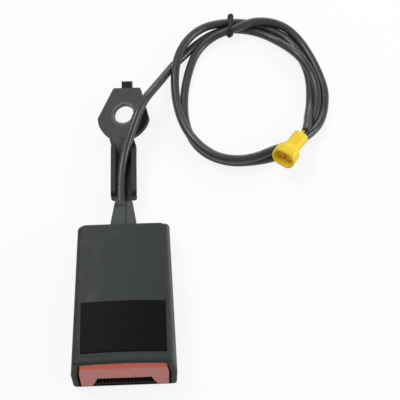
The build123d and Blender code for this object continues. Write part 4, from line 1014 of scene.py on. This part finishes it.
# ---- anchor strap -------------------------------------------------------------------------------
# Pressed from 3 mm high-strength steel, with upturned flanges, a twisted anchor plate and a stop
# tab, then black electrocoated. The coat is chipped in scattered spots and rubbed round the bolt
# hole.
ANCHOR_HOLE = (0.000336, 0.072754, 0.009)
coat = Finish("electrocoat", Specular_IOR_Level=0.22)
orange_peel = coat.noise(520, 3, 0.6)
tone = coat.noise(45, 4, 0.6)
rub = coat.ramp(coat.away(*ANCHOR_HOLE) + 0.0030 * coat.noise(330, 4, 0.7), 0.0098, 0.0076)
chip = coat.ramp(coat.noise(800, 4, 0.7), 0.66, 0.70)
bare = rub * 0.35 + chip * 0.35
coat.feed(
    Base_Color=coat.mixed(
        bare, coat.mixed(tone, (0.014, 0.017, 0.016, 1), (0.029, 0.034, 0.032, 1)),
        (0.24, 0.25, 0.25, 1),
    ),
    Roughness=0.34 + 0.14 * orange_peel - 0.06 * bare,
    Metallic=0.8 * bare,
    Normal=coat.bump(orange_peel, 0.00010, 0.4, normal=coat.bump(chip, 0.00006, -0.3)),
)
coat.on(nodes["anchor_strap"])


# ---- stalk boot ---------------------------------------------------------------------------------
# Soft thermoplastic sleeve over the strap's neck, split down its middle: the left half carries
# the lead in a rounded hood with a waist behind its end, the right half has two moulded steps.
BOOT_ROOT, BOOT_TAPER, BOOT_TIP = -5.4, -3.0, 12.0      # Y of its ends and of its taper's start
BOOT_HALF, BOOT_HEIGHT = (7.35, 2.2), (8.2, 3.0)        # each where it starts, and its fall
BOOT_FOOT = 7.2                         # height of the strap it sits on
LEAD_SIDE = -1.8                        # where the lead runs, and the middle of its hood
HOOD_RADIUS, HOOD_MIDDLE = 3.3, 10.7    # of its half circle, and the height of that
SPLIT_SIDE, WAIST_Y = 1.3, 8.3          # X of the split, and Y of the waist on its left
STEP_YS = (3.9, 2.1)                    # of the steps on its right


def boot_skin():
    """A rounded rectangle that tapers along the strap, with its top raised and cut.

    Outline: an eighth-power oval round a middle that sinks with the height. The top rises to the
    hood's half circle over the lead, falls in a narrow valley along the split and in a shallow
    waist on the left, and rises in two low waves on the right, each a bell curve of its distance.
    """
    along = np.concatenate([
        [BOOT_ROOT, BOOT_ROOT, BOOT_ROOT + 0.2], np.linspace(BOOT_ROOT + 0.5, BOOT_TIP - 0.6, 150),
        [BOOT_TIP - 0.3, BOOT_TIP - 0.1, BOOT_TIP, BOOT_TIP],
    ])[:, None]
    inset = np.concatenate([[0.35, 0.12, 0.0], np.zeros(150), [0.03, 0.12, 0.3, 0.9]])[:, None]
    share = np.clip((along - BOOT_TAPER) / (BOOT_TIP - BOOT_TAPER), -0.1, 1)
    half = BOOT_HALF[0] - BOOT_HALF[1] * share - inset
    high = BOOT_HEIGHT[0] - BOOT_HEIGHT[1] * share - inset
    turn = np.linspace(0, tau, 220, endpoint=False)[None, :]
    reach = (np.abs(np.cos(turn)) ** 8 + np.abs(np.sin(turn)) ** 8) ** (-1 / 8)
    x, rise = half * reach * np.cos(turn), reach * np.sin(turn)
    top = np.clip(4 * rise - 2.6, 0, 1)
    z = BOOT_FOOT + high / 2 * (1 + rise)
    crest = np.sqrt(np.clip(HOOD_RADIUS**2 - (x - LEAD_SIDE) ** 2, 0, None))
    hood = HOOD_MIDDLE + crest - inset
    z = z + top * np.clip((along - 1) / 8, 0, 1) * np.maximum(hood - z, 0)
    split = 0.7 * np.exp(-(((x - SPLIT_SIDE) / 0.34) ** 2))
    waist = 0.45 * np.exp(-(((along - WAIST_Y) / 0.55) ** 4)) * (x < 1.0)
    first_step = 0.28 * np.exp(-(((along - STEP_YS[0]) / 0.45) ** 2))
    second_step = 0.2 * np.exp(-(((along - STEP_YS[1]) / 0.35) ** 2))
    z = z + top * ((first_step + second_step) * (x > 2.0) - split - waist)
    return skin(np.stack(np.broadcast_arrays(x, along, z), axis=-1))


boot = moulded("boot_sleeve", [boot_skin()])
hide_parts("stalk_boot")
soft = Finish("boot plastic", Specular_IOR_Level=0.35)
bloom = soft.noise(70, 4, 0.6)
satin = soft.noise(1900, 3, 0.6)
soft.feed(
    Base_Color=soft.mixed(
        0.6 * bloom + 0.4 * satin, (0.036, 0.043, 0.041, 1), (0.060, 0.068, 0.066, 1)
    ),
    Roughness=0.48 + 0.16 * bloom,
    Normal=soft.bump(satin, 0.00008, 0.45, normal=soft.bump(soft.noise(240, 2), 0.0002, 0.15)),
)
soft.on(boot)


# ---- switch and inner wires ---------------------------------------------------------------------
# Black glass-filled case of the buckle switch beside the frame, its two brass blades, and the two
# insulated wires that run from them over the frame's wall to the lead.
case = grained_plastic("switch case", (0.012, 0.012, 0.012), (0.024, 0.024, 0.024), 1800, 0.4)
case.on(nodes["switch_body"])
brass.on(nodes["switch_terminals"])
core_finish("black core", (0.014, 0.014, 0.015), (0.030, 0.030, 0.032)).on(nodes["inner_wires"])
